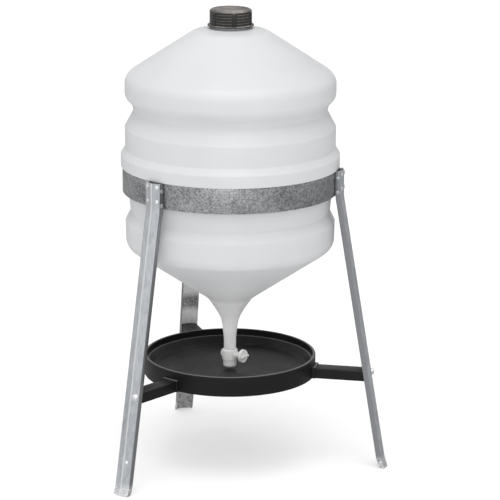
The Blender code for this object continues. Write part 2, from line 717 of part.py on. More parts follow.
def build_cap():
    top = CAP_CEILING_Z + CAP_TOP
    rim_r = CAP_R + CAP_RIM_WIDTH
    rim_z = CAP_LOW_Z + CAP_RIM_HEIGHT
    profile = [
        (0, top - CAP_DISH),
        (CAP_R - CAP_BEVEL - CAP_DISH_STEP, top - CAP_DISH),
        (CAP_R - CAP_BEVEL, top),
        (CAP_R, top - CAP_BEVEL),
        (CAP_R, rim_z),
        (rim_r, rim_z),
        (rim_r, CAP_LOW_Z),
        (CAP_BORE_R, CAP_LOW_Z),
        (CAP_BORE_R, CAP_CEILING_Z),
        (0, CAP_CEILING_Z),
    ]
    cap = add_object("cap", turned(profile, BODY_SEGMENTS, closed=False), cap_plastic, stand_axis)
    lug_low = (CAP_R - CAP_LUG_SUNK, -CAP_LUG_WIDTH / 2, rim_z - CAP_LUG_SUNK)
    lug_high = (CAP_R + CAP_LUG_HEIGHT, CAP_LUG_WIDTH / 2, top - CAP_BEVEL)
    lugs = []
    for turn in range(CAP_LUGS):
        place = Matrix.Rotation(math.radians(CAP_LUG_AZIMUTH + 360 * turn / CAP_LUGS), 4, "Z")
        lugs.append(add_object("lug", box(lug_low, lug_high), parent=stand_axis, place=place))
    ridge = thread_ridge(CAP_BORE_R + THREAD_SUNK, CAP_BORE_R - THREAD_DEPTH, CAP_THREAD_Z)
    lugs.append(add_object("cap_thread", ridge, parent=stand_axis))
    combine(cap, lugs, "UNION")
    seal_r = CAP_BORE_R - GAP
    bore_r = NECK_R - TANK_WALL
    seal = [
        (seal_r, SEAL_Z + SEAL_THICKNESS),
        (seal_r, SEAL_Z),
        (bore_r, SEAL_Z),
        (bore_r, SEAL_Z + SEAL_THICKNESS),
    ]
    settle(add_object("cap_seal", turned(seal, BODY_SEGMENTS), rubber, stand_axis))


def along_x(shape):
    """Turns a shape made about Z to lie along X."""
    bmesh.ops.rotate(shape, verts=shape.verts, cent=(0, 0, 0), matrix=Matrix.Rotation(math.pi / 2, 3, "Y"))
    return shape


def build_tap():
    tap_frame = add_empty("tap_frame", (0, 0, TAP_Z), math.radians(TAP_AZIMUTH), stand_axis)
    low = NOZZLE_Z - TAP_Z
    half = TAP_LENGTH / 2
    profile = [(SPIGOT_R, half + SPIGOT_LENGTH), (SPIGOT_R, half), (TAP_R - TAP_CHAMFER, half)]
    profile += [(TAP_R, half - TAP_CHAMFER), (TAP_R, -half), (NOZZLE_R, -half)]
    profile += [(NOZZLE_R, low + NOZZLE_ROUND), (NOZZLE_R - NOZZLE_ROUND * 0.3, low + NOZZLE_ROUND * 0.3)]
    profile += [(NOZZLE_R - NOZZLE_ROUND, low), (TAP_BORE_R, low), (TAP_BORE_R, half + SPIGOT_LENGTH)]
    body = add_object("tap_body", turned(profile, SMALL_SEGMENTS), tap_plastic, tap_frame)
    barrel_r = PLUG_R + PLUG_CLEARANCE
    barrel = along_x(rod(barrel_r, -TAP_R - CUT_OVERRUN, TAP_R + CUT_OVERRUN))
    combine(body, [add_object("barrel", barrel, parent=tap_frame)], "DIFFERENCE")

    groove_r = barrel_r - RING_SECTION
    groove = RING_GROOVE_WIDTH / 2
    back = -TAP_R - GAP
    profile = [(0, KNOB_REACH), (KNOB_R - EDGE_BREAK, KNOB_REACH), (KNOB_R, KNOB_REACH - EDGE_BREAK)]
    profile += [(KNOB_R, KNOB_REACH - KNOB_THICKNESS), (STEM_R, KNOB_REACH - KNOB_THICKNESS)]
    profile += [(STEM_R, TAP_R + PLUG_SHOULDER), (PLUG_R, TAP_R + PLUG_SHOULDER)]
    for place in (RING_PLACE, -RING_PLACE):
        profile += [(PLUG_R, place + groove), (groove_r, place + groove)]
        profile += [(groove_r, place - groove), (PLUG_R, place - groove)]
    tip = back - SNAP_LENGTH
    profile += [(PLUG_R, back), (PLUG_R + SNAP_LIP, back), (PLUG_R, tip), (0, tip)]
    key = along_x(turned(profile, SMALL_SEGMENTS, closed=False))
    key = add_object("tap_key", key, tap_plastic, tap_frame)
    grip_low = (KNOB_REACH - GRIP_SUNK, EDGE_BREAK - KNOB_R, -GRIP_WIDTH / 2)
    grip = box(grip_low, (KNOB_REACH + GRIP_HEIGHT, KNOB_R - EDGE_BREAK, GRIP_WIDTH / 2))
    combine(key, [add_object("grip", grip, parent=tap_frame)], "UNION")
    combine(key, [add_object("port", rod(PORT_R, -TAP_R, TAP_R), parent=tap_frame)], "DIFFERENCE")

    section_r = RING_SECTION / 2 - GAP / 2
    middle_r = (barrel_r + groove_r) / 2
    for name, place in (("outer", RING_PLACE), ("inner", -RING_PLACE)):
        section = []
        for corner in range(6):
            angle = -2 * math.pi * (corner + 0.5) / 6
            section.append((middle_r + section_r * math.cos(angle), place + section_r * math.sin(angle)))
        settle(add_object(f"tap_ring_{name}", along_x(turned(section, SMALL_SEGMENTS)), rubber, tap_frame))


leg_frames = []
for number, azimuth in enumerate(LEG_AZIMUTHS, start=1):
    leg_frame = add_empty(f"leg_frame_{number}", turn=math.radians(azimuth - 90), parent=stand_axis)
    leg_frames.append(leg_frame)
    build_leg(f"leg_{number}", leg_frame)
    build_arm_bolt(f"arm_{number}", leg_frame)
    arc_turn = math.radians(azimuth - 90) + math.pi / len(LEG_AZIMUTHS)
    arc_frame = add_empty(f"arc_frame_{number}", turn=arc_turn, parent=stand_axis)
    build_hoop_arc(f"hoop_arc_{number}", arc_frame)

build_tray(leg_frames)
build_tank()
build_cap()
build_tap()
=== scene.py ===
"""Poultry waterer fount: the look of every piece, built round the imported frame. Metres, +Z up."""

import math

import bmesh
import bpy
from mathutils import Matrix, Vector


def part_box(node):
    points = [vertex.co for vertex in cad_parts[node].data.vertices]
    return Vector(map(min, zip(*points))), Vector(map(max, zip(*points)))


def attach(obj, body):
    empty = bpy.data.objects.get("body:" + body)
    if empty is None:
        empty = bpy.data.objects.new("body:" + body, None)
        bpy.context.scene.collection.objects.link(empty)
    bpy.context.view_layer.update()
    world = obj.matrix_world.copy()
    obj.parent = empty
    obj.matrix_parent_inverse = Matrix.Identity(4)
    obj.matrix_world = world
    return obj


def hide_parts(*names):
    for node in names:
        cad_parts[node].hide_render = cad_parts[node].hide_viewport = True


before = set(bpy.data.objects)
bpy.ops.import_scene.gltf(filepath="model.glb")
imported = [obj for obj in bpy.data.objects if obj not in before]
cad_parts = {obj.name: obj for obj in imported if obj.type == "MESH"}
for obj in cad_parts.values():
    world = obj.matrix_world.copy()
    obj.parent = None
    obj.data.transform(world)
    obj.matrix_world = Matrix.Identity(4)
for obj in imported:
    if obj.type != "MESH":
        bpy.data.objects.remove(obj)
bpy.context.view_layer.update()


# Studio: a plain pale floor that glows a little, soft boxes in front, overhead and low down, and a long
# lens that looks a little down on the fount from its front left.

tank_low, tank_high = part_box("tank")
axis_y = (tank_low.y + tank_high.y) / 2  # the tank, the hoop and the tray all share this upright axis


def feed(tree, socket, value):
    """Gives a shader socket a value, or links it to the output that feeds it."""
    if isinstance(value, bpy.types.NodeSocket):
        tree.links.new(value, socket)
    else:
        socket.default_value = value


def add_node(tree, kind, properties=None, **inputs):
    """Adds a shader node. An underscore in an input's name stands for a space."""
    node = tree.nodes.new("ShaderNode" + kind)
    for name, value in (properties or {}).items():
        setattr(node, name, value)
    for name, value in inputs.items():
        feed(tree, node.inputs[name.replace("_", " ")], value)
    return node


def ranged(tree, value, low, high, new_low=0.0, new_high=1.0):
    """Maps a range of values onto another, and holds it at both ends."""
    node = add_node(tree, "MapRange", Value=value, From_Min=low, From_Max=high)
    feed(tree, node.inputs["To Min"], new_low)
    feed(tree, node.inputs["To Max"], new_high)
    return node.outputs[0]


def start_material(name, roughness, metallic=0.0):
    """A new material's node tree and its Principled shader."""
    material = bpy.data.materials.new(name)
    material.use_nodes = True
    shader = material.node_tree.nodes["Principled BSDF"]
    shader.inputs["Roughness"].default_value = roughness
    shader.inputs["Metallic"].default_value = metallic
    return material, material.node_tree, shader


def place_mesh(name, shape, material):
    """Turns a bmesh into an object at the origin."""
    mesh = bpy.data.meshes.new(name)
    shape.to_mesh(mesh)
    shape.free()
    mesh.materials.append(material)
    piece = bpy.data.objects.new(name, mesh)
    bpy.context.scene.collection.objects.link(piece)
    return piece


floor_paint, _, floor_shader = start_material("floor_paint", 0.6)
floor_shader.inputs["Base Color"].default_value = (0.62, 0.62, 0.62, 1)
floor_shader.inputs["Emission Color"].default_value = (1, 1, 1, 1)
floor_shader.inputs["Emission Strength"].default_value = 0.42  # lifts the floor towards white
floor_reach = 14
floor_shape = bmesh.new()
bmesh.ops.create_grid(floor_shape, x_segments=1, y_segments=1, size=floor_reach)
floor = place_mesh("floor", floor_shape, floor_paint)
floor.visible_glossy = False  # metal and gloss mirror the studio's lower half in place of the lit floor

tank_middle = Vector((0, 0, 0.4))
for box_name, place, size, power in (
    ("front_box", (-2.0, -4.4, 1.9), 1.8, 27),
    ("top_box", (-0.4, -0.9, 3.2), 1.8, 26),
    ("low_box", (-1.0, -3.6, 1.1), 1.0, 13),
):
    lamp = bpy.data.lights.new(box_name, "AREA")
    lamp.shape = "SQUARE"
    lamp.size = size
    lamp.energy = power
    soft_box = bpy.data.objects.new(box_name, lamp)
    soft_box.location = place
    soft_box.rotation_euler = (tank_middle - Vector(place)).to_track_quat("-Z", "Y").to_euler()
    soft_box.visible_glossy = box_name != "low_box"  # it fills the shade and leaves no streak on the metal
    bpy.context.scene.collection.objects.link(soft_box)

ceiling = bpy.data.lights.new("ceiling_glow", "SUN")
ceiling.angle = math.radians(70)
ceiling.energy = 1.0
ceiling_glow = bpy.data.objects.new("ceiling_glow", ceiling)
ceiling_glow.rotation_euler = Vector((0.04, 0.48, -1.0)).to_track_quat("-Z", "Y").to_euler()
bpy.context.scene.collection.objects.link(ceiling_glow)

world = bpy.data.worlds.new("studio")
world.use_nodes = True
world.node_tree.nodes["Background"].inputs["Color"].default_value = (1, 1, 1, 1)
way = add_node(world.node_tree, "TexCoord").outputs["Generated"]
lower_half = ((-0.707, -0.707, 0), 0.36, 0.76)  # its bright side, and its glow away from it and towards it
upper_half = ((-0.87, 0.5, 0), 0.56, 0.80)
halves = []
for bright_side, dim, bright in (lower_half, upper_half):
    side = add_node(world.node_tree, "VectorMath", {"operation": "DOT_PRODUCT"})
    feed(world.node_tree, side.inputs[0], way)
    feed(world.node_tree, side.inputs[1], bright_side)
    halves.append(ranged(world.node_tree, side.outputs["Value"], -1, 1, dim, bright))
climb = add_node(world.node_tree, "SeparateXYZ", Vector=way).outputs["Z"]
glow = ranged(world.node_tree, climb, -0.03, 0.06, *halves)
feed(world.node_tree, world.node_tree.nodes["Background"].inputs["Strength"], glow)
bpy.context.scene.world = world
bpy.context.scene.view_settings.view_transform = "Standard"

lens = bpy.data.cameras.new("long_lens")
lens.lens = 182.5
lens.sensor_width = 36
lens.clip_end = 60
camera = bpy.data.objects.new("camera", lens)
camera_place = Matrix.Translation((-1.2677, -3.8656, 1.4068))
camera_turn = Matrix.Rotation(math.radians(-18.818), 4, "Z")
camera_tilt = Matrix.Rotation(math.radians(90 - 14.6365), 4, "X")
camera_roll = Matrix.Rotation(math.radians(0.2573), 4, "Z")
camera.matrix_world = camera_place @ camera_turn @ camera_tilt @ camera_roll
bpy.context.scene.collection.objects.link(camera)
bpy.context.scene.camera = camera


# Legs: three channels pressed from galvanised sheet, with a low ridge down the web, folded side flanges
# that are rounded off at the foot, a slightly flared end and one spare hole near the ground.

hoop_top_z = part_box("hoop_arc_1")[1].z
hoop_low_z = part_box("hoop_arc_1")[0].z
leg_azimuths = (90, 210, 330)
leg_turns = [Matrix.Rotation(math.radians(azimuth - 90), 4, "Z") for azimuth in leg_azimuths]
on_axis = Matrix.Translation((0, axis_y, 0))
leg_places = [on_axis @ turn for turn in leg_turns]
leg_width = 0.030
leg_depth = 0.0085
leg_ridge = 0.0035
leg_gauge = 0.0012
leg_top_r = 0.1843  # from the axis to the corner of the web, beside the hoop
leg_top_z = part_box("leg_1")[1].z
leg_splay = 0.168
bend_half = 0.007  # height over which the leg turns outwards below the hoop, above and below
foot_flare = 0.0025
foot_flare_height = 0.022
foot_round = 0.006
fold_r = 0.0018
ridge_r = 0.005
foot_hole_r = 0.0026
foot_hole_place = (-0.0055, 0.055)  # across the web, and up
cut_overrun = 0.003  # how far a cutter stands out of the sheet
fine_edge = 0.0002


def rounded(corners, step=math.radians(7)):
    """Turns (x, y, fillet radius) corners into points, each fillet with a point about every step."""
    points = [Vector(corners[0][:2])]
    for before, corner, after in zip(corners, corners[1:], corners[2:]):
        middle = Vector(corner[:2])
        back = (Vector(before[:2]) - middle).normalized()
        ahead = (Vector(after[:2]) - middle).normalized()
        turn = math.pi - back.angle(ahead)
        if corner[2] == 0 or turn < 1e-3:
            points.append(middle)
            continue
        reach = corner[2] * math.tan(turn / 2)
        centre = middle + (back + ahead).normalized() * corner[2] / math.cos(turn / 2)
        start = middle + back * reach - centre
        side = 1 if back.cross(ahead) < 0 else -1
        steps = max(2, round(turn / step))
        for i in range(steps + 1):
            points.append(centre + Matrix.Rotation(side * turn * i / steps, 2) @ start)
    points.append(Vector(corners[-1][:2]))
    return points


def beside(points, distance):
    """The path that runs to the right of this one at the distance."""
    moved = []
    for i, point in enumerate(points):
        before = (point - points[i - 1]).normalized() if i else None
        after = (points[i + 1] - point).normalized() if i < len(points) - 1 else before
        before = before or after
        along = (before + after).normalized()
        moved.append(point + Vector((along.y, -along.x)) * distance / along.dot(after))
    return moved


def extruded(outline, heights):
    """A closed outline drawn up through the heights, with a face at each end."""
    shape = bmesh.new()
    verts = [shape.verts.new((x, y, heights[0])) for x, y in outline]
    edges = shape.faces.new(verts).edges[:]
    for low, high in zip(heights, heights[1:]):
        drawn = bmesh.ops.extrude_edge_only(shape, edges=edges)["geom"]
        verts = [item for item in drawn if isinstance(item, bmesh.types.BMVert)]
        bmesh.ops.translate(shape, verts=verts, vec=(0, 0, high - low))
        fresh = set(verts)
        edges = [e for e in shape.edges if e.verts[0] in fresh and e.verts[1] in fresh]
    bmesh.ops.contextual_create(shape, geom=edges)
    bmesh.ops.recalc_face_normals(shape, faces=shape.faces)
    return shape


def ease_edges(shape, width, segments=2, sharper_than=50):
    """Rounds every edge that turns by more than the given degrees."""
    sharp = [e for e in shape.edges if e.is_manifold and e.calc_face_angle() > math.radians(sharper_than)]
    bmesh.ops.bevel(
        shape,
        geom=sharp,
        offset=width,
        affect="EDGES",
        segments=segments,
        profile=0.5,
        material=-1,
        clamp_overlap=True,
    )
    return shape


def spun(profile, segments, closed=False):
    """Spins (radius, height) points about Z. An open profile starts and ends on the axis."""
    shape = bmesh.new()
    verts = [shape.verts.new((r, 0, z)) for r, z in profile]
    edges = [shape.edges.new(pair) for pair in zip(verts, verts[1:])]
    if closed:
        edges.append(shape.edges.new((verts[-1], verts[0])))
    bmesh.ops.spin(
        shape,
        geom=verts + edges,
        cent=(0, 0, 0),
        axis=(0, 0, 1),
        angle=2 * math.pi,
        steps=segments,
        use_merge=True,
    )
    bmesh.ops.remove_doubles(shape, verts=shape.verts, dist=1e-6)
    bmesh.ops.recalc_face_normals(shape, faces=shape.faces)
    return shape


def carved(shape, tool, operation="DIFFERENCE"):
    """The shape with the tool cut from it, or joined to it."""
    objects = []
    for name, part in (("shape", shape), ("tool", tool)):
        mesh = bpy.data.meshes.new(name)
        part.to_mesh(mesh)
        part.free()
        objects.append(bpy.data.objects.new(name, mesh))
        bpy.context.scene.collection.objects.link(objects[-1])
    boolean = objects[0].modifiers.new("carve", "BOOLEAN")
    boolean.operation = operation
    boolean.solver = "EXACT"
    boolean.object = objects[1]
    bpy.context.view_layer.update()
    result = bmesh.new()
    result.from_object(objects[0], bpy.context.evaluated_depsgraph_get())
    for leftover in objects:
        bpy.data.objects.remove(leftover)
    return result


def facing(point, normal):
    """A place whose Z axis is the normal and whose X axis is level."""
    z_axis = Vector(normal).normalized()
    x_axis = Vector((0, 0, 1)).cross(z_axis).normalized()
    turn = Matrix((x_axis, z_axis.cross(x_axis), z_axis)).transposed().to_4x4()
    return Matrix.Translation(point) @ turn


def finish_piece(name, shape, material, body, nodes, place=None):
    """Makes the piece at its place, shades its round faces smooth, and hangs it on its body."""
    if place:
        shape.transform(place)
    piece = place_mesh(name, shape, material)
    piece.data.shade_smooth()
    piece.data.set_sharp_from_angle(angle=math.radians(36))
    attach(piece, body)
    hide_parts(*nodes)
    return piece


def leg_radius(z):
    """Distance from the axis to the corner of the web at height z."""
    below = hoop_low_z - z
    if abs(below) < bend_half:
        below = (below + bend_half) ** 2 / (4 * bend_half)
    flare = max(0, foot_flare_height - z) / foot_flare_height
    return leg_top_r + leg_splay * max(0, below) + foot_flare * flare ** 2


def web_outer(x, z):
    """Distance from the axis to the web's outer face, x off its middle."""
    return leg_radius(z) + leg_ridge * (1 - abs(x) / (leg_width / 2))


def web_place(x, z):
    """A place on the web's outer face, in the leg's own space, with Z pointing out of the sheet."""
    fall = leg_splay if z < hoop_low_z else 0
    slope = math.copysign(leg_ridge / (leg_width / 2), x)
    return facing((x, web_outer(x, z), z), (slope, 1, fall))


def flange_depth(z):
    """Depth of the side flanges at height z, rounded off at the foot."""
    if z < foot_round:
        return leg_depth - foot_round * (1 - math.sqrt(1 - (1 - z / foot_round) ** 2))
    return leg_depth


def leg_shape():
    """A channel with its foot hole, and on each vertex its place across the web and whether it faces in."""
    half = leg_width / 2
    web = [(-half, -leg_depth, 0), (-half, 0, fold_r), (0, leg_ridge, ridge_r)]
    outer = rounded(web + [(half, 0, fold_r), (half, -leg_depth, 0)])
    outline = outer + beside(outer, leg_gauge)[::-1]
    heights = [foot_round * (1 - math.cos(math.radians(angle))) for angle in range(0, 91, 15)]
    heights += [0.0085, 0.0115, 0.0145, 0.018, foot_flare_height]  # closer together over the flare
    heights += [foot_flare_height + 0.085 * step for step in range(1, 6)]
    heights += [hoop_low_z + bend_half * step / 3 for step in range(-3, 4)]
    heights.append(leg_top_z)
    shape = extruded(outline, heights)
    for vert in shape.verts:
        x, y, z = vert.co
        if y < leg_gauge - leg_depth:
            y = -flange_depth(z)
        vert.co.y = leg_radius(z) + y
    drill_end = -leg_gauge - cut_overrun
    drill = [(0, cut_overrun), (foot_hole_r, cut_overrun), (foot_hole_r, drill_end), (0, drill_end)]
    hole = spun(drill, 24)
    hole.transform(web_place(*foot_hole_place))
    shape = ease_edges(carved(shape, hole), fine_edge)
    across = shape.verts.layers.float.new("across")
    inside = shape.verts.layers.float.new("inside")
    for vert in shape.verts:
        x, y, z = vert.co
        vert[across] = abs(x)
        vert[inside] = y < web_outer(x, z) - leg_gauge * 0.6 and abs(x) < half - leg_gauge * 0.6
    return shape


def start_group(name, inputs, outputs):
    """An empty shader node group with its inputs, (name, type, value), and outputs, (name, type)."""
    group = bpy.data.node_groups.new(name, "ShaderNodeTree")
    for label, kind, value in inputs:
        socket = group.interface.new_socket(label, in_out="INPUT", socket_type="NodeSocket" + kind)
        if value is not None:
            socket.default_value = value
    for label, kind in outputs:
        group.interface.new_socket(label, in_out="OUTPUT", socket_type="NodeSocket" + kind)
    return group, group.nodes.new("NodeGroupInput").outputs, group.nodes.new("NodeGroupOutput").inputs


def use_group(tree, group, **inputs):
    """Places a node group in a material. An underscore in an input's name stands for a space."""
    node = tree.nodes.new("ShaderNodeGroup")
    node.node_tree = group
    for name, value in inputs.items():
        feed(tree, node.inputs[name.replace("_", " ")], value)
    return node.outputs


def mixed(tree, factor, first, second):
    """A colour between two colours."""
    node = add_node(tree, "Mix", {"data_type": "RGBA"})
    for index, value in ((0, factor), (6, first), (7, second)):
        feed(tree, node.inputs[index], value)
    return node.outputs[2]


def maths(tree, operation, first, second=0.0):
    """One sum on two values."""
    node = add_node(tree, "Math", {"operation": operation})
    feed(tree, node.inputs[0], first)
    feed(tree, node.inputs[1], second)
    return node.outputs[0]


def placed(tree, scale=(1, 1, 1), move=(0, 0, 0)):
    """The object's own coordinates, stretched for a pattern."""
    own = add_node(tree, "TexCoord").outputs["Object"]
    return add_node(tree, "Mapping", Vector=own, Scale=scale, Location=move).outputs[0]


def noise(tree, place, scale, detail, roughness=0.5):
    """A cloudy value between 0 and 1."""
    node = add_node(tree, "TexNoise", Vector=place, Scale=scale, Detail=detail, Roughness=roughness)
    return node.outputs["Fac"]


# Hot-dip zinc: flat crystals of uneven tone, cloudy patches, and a skin that is not quite level.
zinc_coat, zinc_in, zinc_out = start_group(
    "zinc_coat",
    (
        ("Place", "Vector", None),
        ("Crystals", "Float", 300.0),
        ("Contrast", "Float", 0.5),
        ("Dark", "Color", (0.2, 0.2, 0.2, 1)),
        ("Light", "Color", (0.6, 0.6, 0.6, 1)),
    ),
    (("Colour", "Color"), ("Roughness", "Float"), ("Height", "Float")),
)
wander = add_node(zinc_coat, "TexNoise", Vector=zinc_in["Place"], Scale=240.0, Detail=2.0).outputs["Color"]
wander_reach = 0.0022  # how far the noise pulls the crystals' edges out of line
bent_place = add_node(zinc_coat, "VectorMath", {"operation": "MULTIPLY_ADD"})
feed(zinc_coat, bent_place.inputs[0], wander)
feed(zinc_coat, bent_place.inputs[1], (wander_reach, wander_reach, wander_reach))
feed(zinc_coat, bent_place.inputs[2], zinc_in["Place"])
crystals = add_node(zinc_coat, "TexVoronoi", Vector=bent_place.outputs[0], Scale=zinc_in["Crystals"])
crystal_tone = add_node(zinc_coat, "SeparateColor", Color=crystals.outputs["Color"]).outputs[0]
ferns = noise(zinc_coat, zinc_in["Place"], 900.0, 3.0, 0.7)
clouds = noise(zinc_coat, zinc_in["Place"], 18.0, 4.0)
crystal_share = maths(zinc_coat, "MULTIPLY", crystal_tone, 0.6)
fine_tone = maths(zinc_coat, "ADD", crystal_share, maths(zinc_coat, "MULTIPLY", ferns, 0.4))
spread_tone = maths(zinc_coat, "MULTIPLY", maths(zinc_coat, "SUBTRACT", fine_tone, 0.5), zinc_in["Contrast"])
cloud_tone = maths(zinc_coat, "MULTIPLY", maths(zinc_coat, "SUBTRACT", clouds, 0.5), 0.9)
zinc_tone = maths(zinc_coat, "ADD", maths(zinc_coat, "ADD", spread_tone, cloud_tone), 0.5)
feed(zinc_coat, zinc_out["Colour"], mixed(zinc_coat, zinc_tone, zinc_in["Dark"], zinc_in["Light"]))
feed(zinc_coat, zinc_out["Roughness"], ranged(zinc_coat, crystal_tone, 0, 1, 0.3, 0.48))
feed(zinc_coat, zinc_out["Height"], fine_tone)

leg_steel, tree, shader = start_material("leg_steel", 0.4, 1.0)
skin = use_group(
    tree,
    zinc_coat,
    Place=placed(tree, (1, 1, 0.22)),
    Crystals=260.0,
    Contrast=0.5,
    Dark=(0.40, 0.43, 0.46, 1),
    Light=(0.78, 0.80, 0.83, 1),
)
own_height = add_node(tree, "SeparateXYZ", Vector=placed(tree)).outputs["Z"]
rolled = noise(tree, placed(tree, (1, 1, 0.02)), 700.0, 2.0)
rolled_colour = mixed(tree, ranged(tree, rolled, 0.35, 0.7, 0.0, 0.35), skin["Colour"], (0.85, 0.87, 0.90, 1))
foot_patch = noise(tree, placed(tree), 260.0, 4.0)
# Near the ground the outside turns pale in patches: partly wear, and partly a painted highlight where the
# flared foot catches the light.
near_ground = ranged(tree, own_height, 0.022, 0.012)
foot_wear_and_highlight = maths(tree, "MULTIPLY", near_ground, ranged(tree, foot_patch, 0.3, 0.6))
across = add_node(tree, "Attribute", {"attribute_name": "across"}).outputs["Fac"]
inside = add_node(tree, "Attribute", {"attribute_name": "inside"}).outputs["Fac"]
outside = maths(tree, "SUBTRACT", 1.0, inside)
# Painted highlight: a pale line down the outside of the web's ridge crest, in place of the light it catches.
painted_ridge_highlight = maths(tree, "MULTIPLY", ranged(tree, across, 0.0019, 0.0008, 0, 0.8), outside)
ridge_highlit_colour = mixed(tree, painted_ridge_highlight, rolled_colour, (0.96, 0.965, 0.97, 1))
# Painted shade: the side flanges past the fold get a much darker colour than the web.
past_fold = ranged(tree, across, leg_width / 2 - 0.0008, leg_width / 2 - 0.0002)
shaded_flange_colour = mixed(tree, past_fold, ridge_highlit_colour, (0.31, 0.32, 0.335, 1))
worn_and_highlit_colour = mixed(tree, foot_wear_and_highlight, shaded_flange_colour, (0.94, 0.94, 0.95, 1))
blotches = noise(tree, placed(tree), 330.0, 5.0, 0.7)
shadow_top_fade = ranged(tree, own_height, 0.226, 0.212)  # the painted shadow stands just above the tray's rim
shadow_band = maths(tree, "MULTIPLY", ranged(tree, own_height, 0.188, 0.200), shadow_top_fade)
bloom = mixed(tree, ranged(tree, blotches, 0.35, 0.65), (0.68, 0.68, 0.685, 1), (0.86, 0.86, 0.865, 1))
# Painted shade: inside the channel the patina turns dark towards the foot.
painted_foot_shade = mixed(tree, ranged(tree, foot_patch, 0.35, 0.6), (0.20, 0.20, 0.20, 1), (0.40, 0.40, 0.40, 1))
bloom = mixed(tree, ranged(tree, own_height, 0.07, 0.04), bloom, painted_foot_shade)
# Painted shadow: a dark patchy band inside the web just above the tray's rim, where the tank's funnel shades
# it.
painted_shadow = maths(tree, "MULTIPLY", shadow_band, ranged(tree, blotches, 0.36, 0.56, 0.3, 0.9))
patina_with_painted_shadow = mixed(tree, painted_shadow, bloom, (0.07, 0.07, 0.072, 1))
feed(tree, shader.inputs["Base Color"], mixed(tree, inside, worn_and_highlit_colour, patina_with_painted_shadow))
feed(tree, shader.inputs["Metallic"], ranged(tree, inside, 0, 1, 1.0, 0.25))
duller = maths(tree, "MULTIPLY", inside, 0.2)
feed(tree, shader.inputs["Roughness"], maths(tree, "ADD", skin["Roughness"], duller))
leg_bump = add_node(tree, "Bump", Strength=0.25, Distance=0.0002, Height=skin["Height"])
feed(tree, shader.inputs["Normal"], leg_bump.outputs[0])

for number, place in enumerate(leg_places, start=1):
    finish_piece(f"leg_{number}", leg_shape(), leg_steel, "stand", [f"leg_{number}"], place)


# Hoop: three arcs of galvanised band with a bright crystal spangle. Each end is bent in beside the leg's
# flange and then along the inside of its web, where the rivets hold it.

hoop_r = 0.1755
hoop_gauge = 0.0012
hoop_bend_r = 0.0015
sheet_gap = 0.0003
arc_steps = 36  # in half an arc
tab_reach = 0.0015  # how far the tab's end stays from the middle of the web


def hoop_path():
    """Centre line of one arc in plan, symmetric about +Y, with a bent tab inside the leg at each end."""
    middle_r = hoop_r - hoop_gauge / 2
    tab_x = leg_width / 2 - leg_gauge - sheet_gap - hoop_gauge / 2
    roof = math.cos(math.atan2(leg_ridge, leg_width / 2))
    web_inset = (leg_gauge + sheet_gap + hoop_gauge / 2) / roof

    def web_line(x):
        return leg_top_r + leg_ridge * (1 - x / (leg_width / 2)) - web_inset

    start = math.asin(tab_x / middle_r)
    half_pitch = math.pi / len(leg_places)
    corners = [(-tab_reach, web_line(tab_reach), 0), (-tab_x, web_line(tab_x), hoop_bend_r)]
    corners.append((-tab_x, math.sqrt(middle_r ** 2 - tab_x ** 2), hoop_bend_r))
    for step in range(1, arc_steps + 1):
        angle = start + (half_pitch - start) * step / arc_steps
        corners.append((-middle_r * math.sin(angle), middle_r * math.cos(angle), 0))
    half = [Matrix.Rotation(-half_pitch, 2) @ point for point in rounded(corners)][:-1]
    return half + [Vector((0, middle_r))] + [Vector((-x, y)) for x, y in reversed(half)]


hoop_steel, tree, shader = start_material("hoop_steel", 0.4, 1.0)
skin = use_group(
    tree,
    zinc_coat,
    Place=placed(tree),
    Crystals=520.0,
    Contrast=1.4,
    Dark=(0.18, 0.185, 0.19, 1),
    Light=(0.56, 0.57, 0.58, 1),
)
feed(tree, shader.inputs["Base Color"], skin["Colour"])
feed(tree, shader.inputs["Roughness"], skin["Roughness"])
hoop_bump = add_node(tree, "Bump", Strength=0.35, Distance=0.0002, Height=skin["Height"])
feed(tree, shader.inputs["Normal"], hoop_bump.outputs[0])

for number, place in enumerate(leg_places, start=1):
    path = hoop_path()
    outline = beside(path, hoop_gauge / 2) + beside(path, -hoop_gauge / 2)[::-1]
    arc = ease_edges(extruded(outline, (hoop_low_z, hoop_top_z)), fine_edge)
    half_turn = Matrix.Rotation(math.pi / len(leg_places), 4, "Z")
    name = f"hoop_arc_{number}"
    finish_piece(name, arc, hoop_steel, "stand", [name], place @ half_turn)


# Rivets: aluminium blind rivets, four through each web and two through each side flange. The head is a
# low dome round the broken-off steel pin, and the tail is upset inside the channel.

rivet_head_r = 0.0038
rivet_head_height = 0.0016
rivet_shank_r = 0.0015
rivet_tail_r = 0.0020
rivet_tail_length = 0.0014
rivet_offset = 0.0095
rivet_edge = 0.0062
rivet_pitch = 0.0234
rivet_stagger = 0.006  # flange rivets, below the web rivets
pin_r = 0.0009
pin_depth = 0.0009


def rivet_shape():
    """A dome with the hollow that the pin broke off in, a shank through both sheets, and the upset tail."""
    grip = leg_gauge + hoop_gauge + 2 * sheet_gap
    top = sheet_gap + rivet_head_height
    head = [(0, top - pin_depth, 0), (pin_r, top - pin_depth, 0), (pin_r, top, 0.0002)]
    head += [(2 * pin_r, top - 0.0001, 0.002), (rivet_head_r * 0.8, top - 0.0007, 0.002)]
    head.append((rivet_head_r, sheet_gap + 0.0003, 0.0002))
    head += [(rivet_head_r, sheet_gap, 0), (rivet_shank_r, sheet_gap, 0), (rivet_shank_r, -grip, 0)]
    tail_end = -grip - rivet_tail_length
    tail = [(rivet_tail_r, -grip, 0.0003), (rivet_tail_r, tail_end, 0.0006), (0, tail_end, 0)]
    return spun(rounded(head + tail, math.radians(22)), 28)


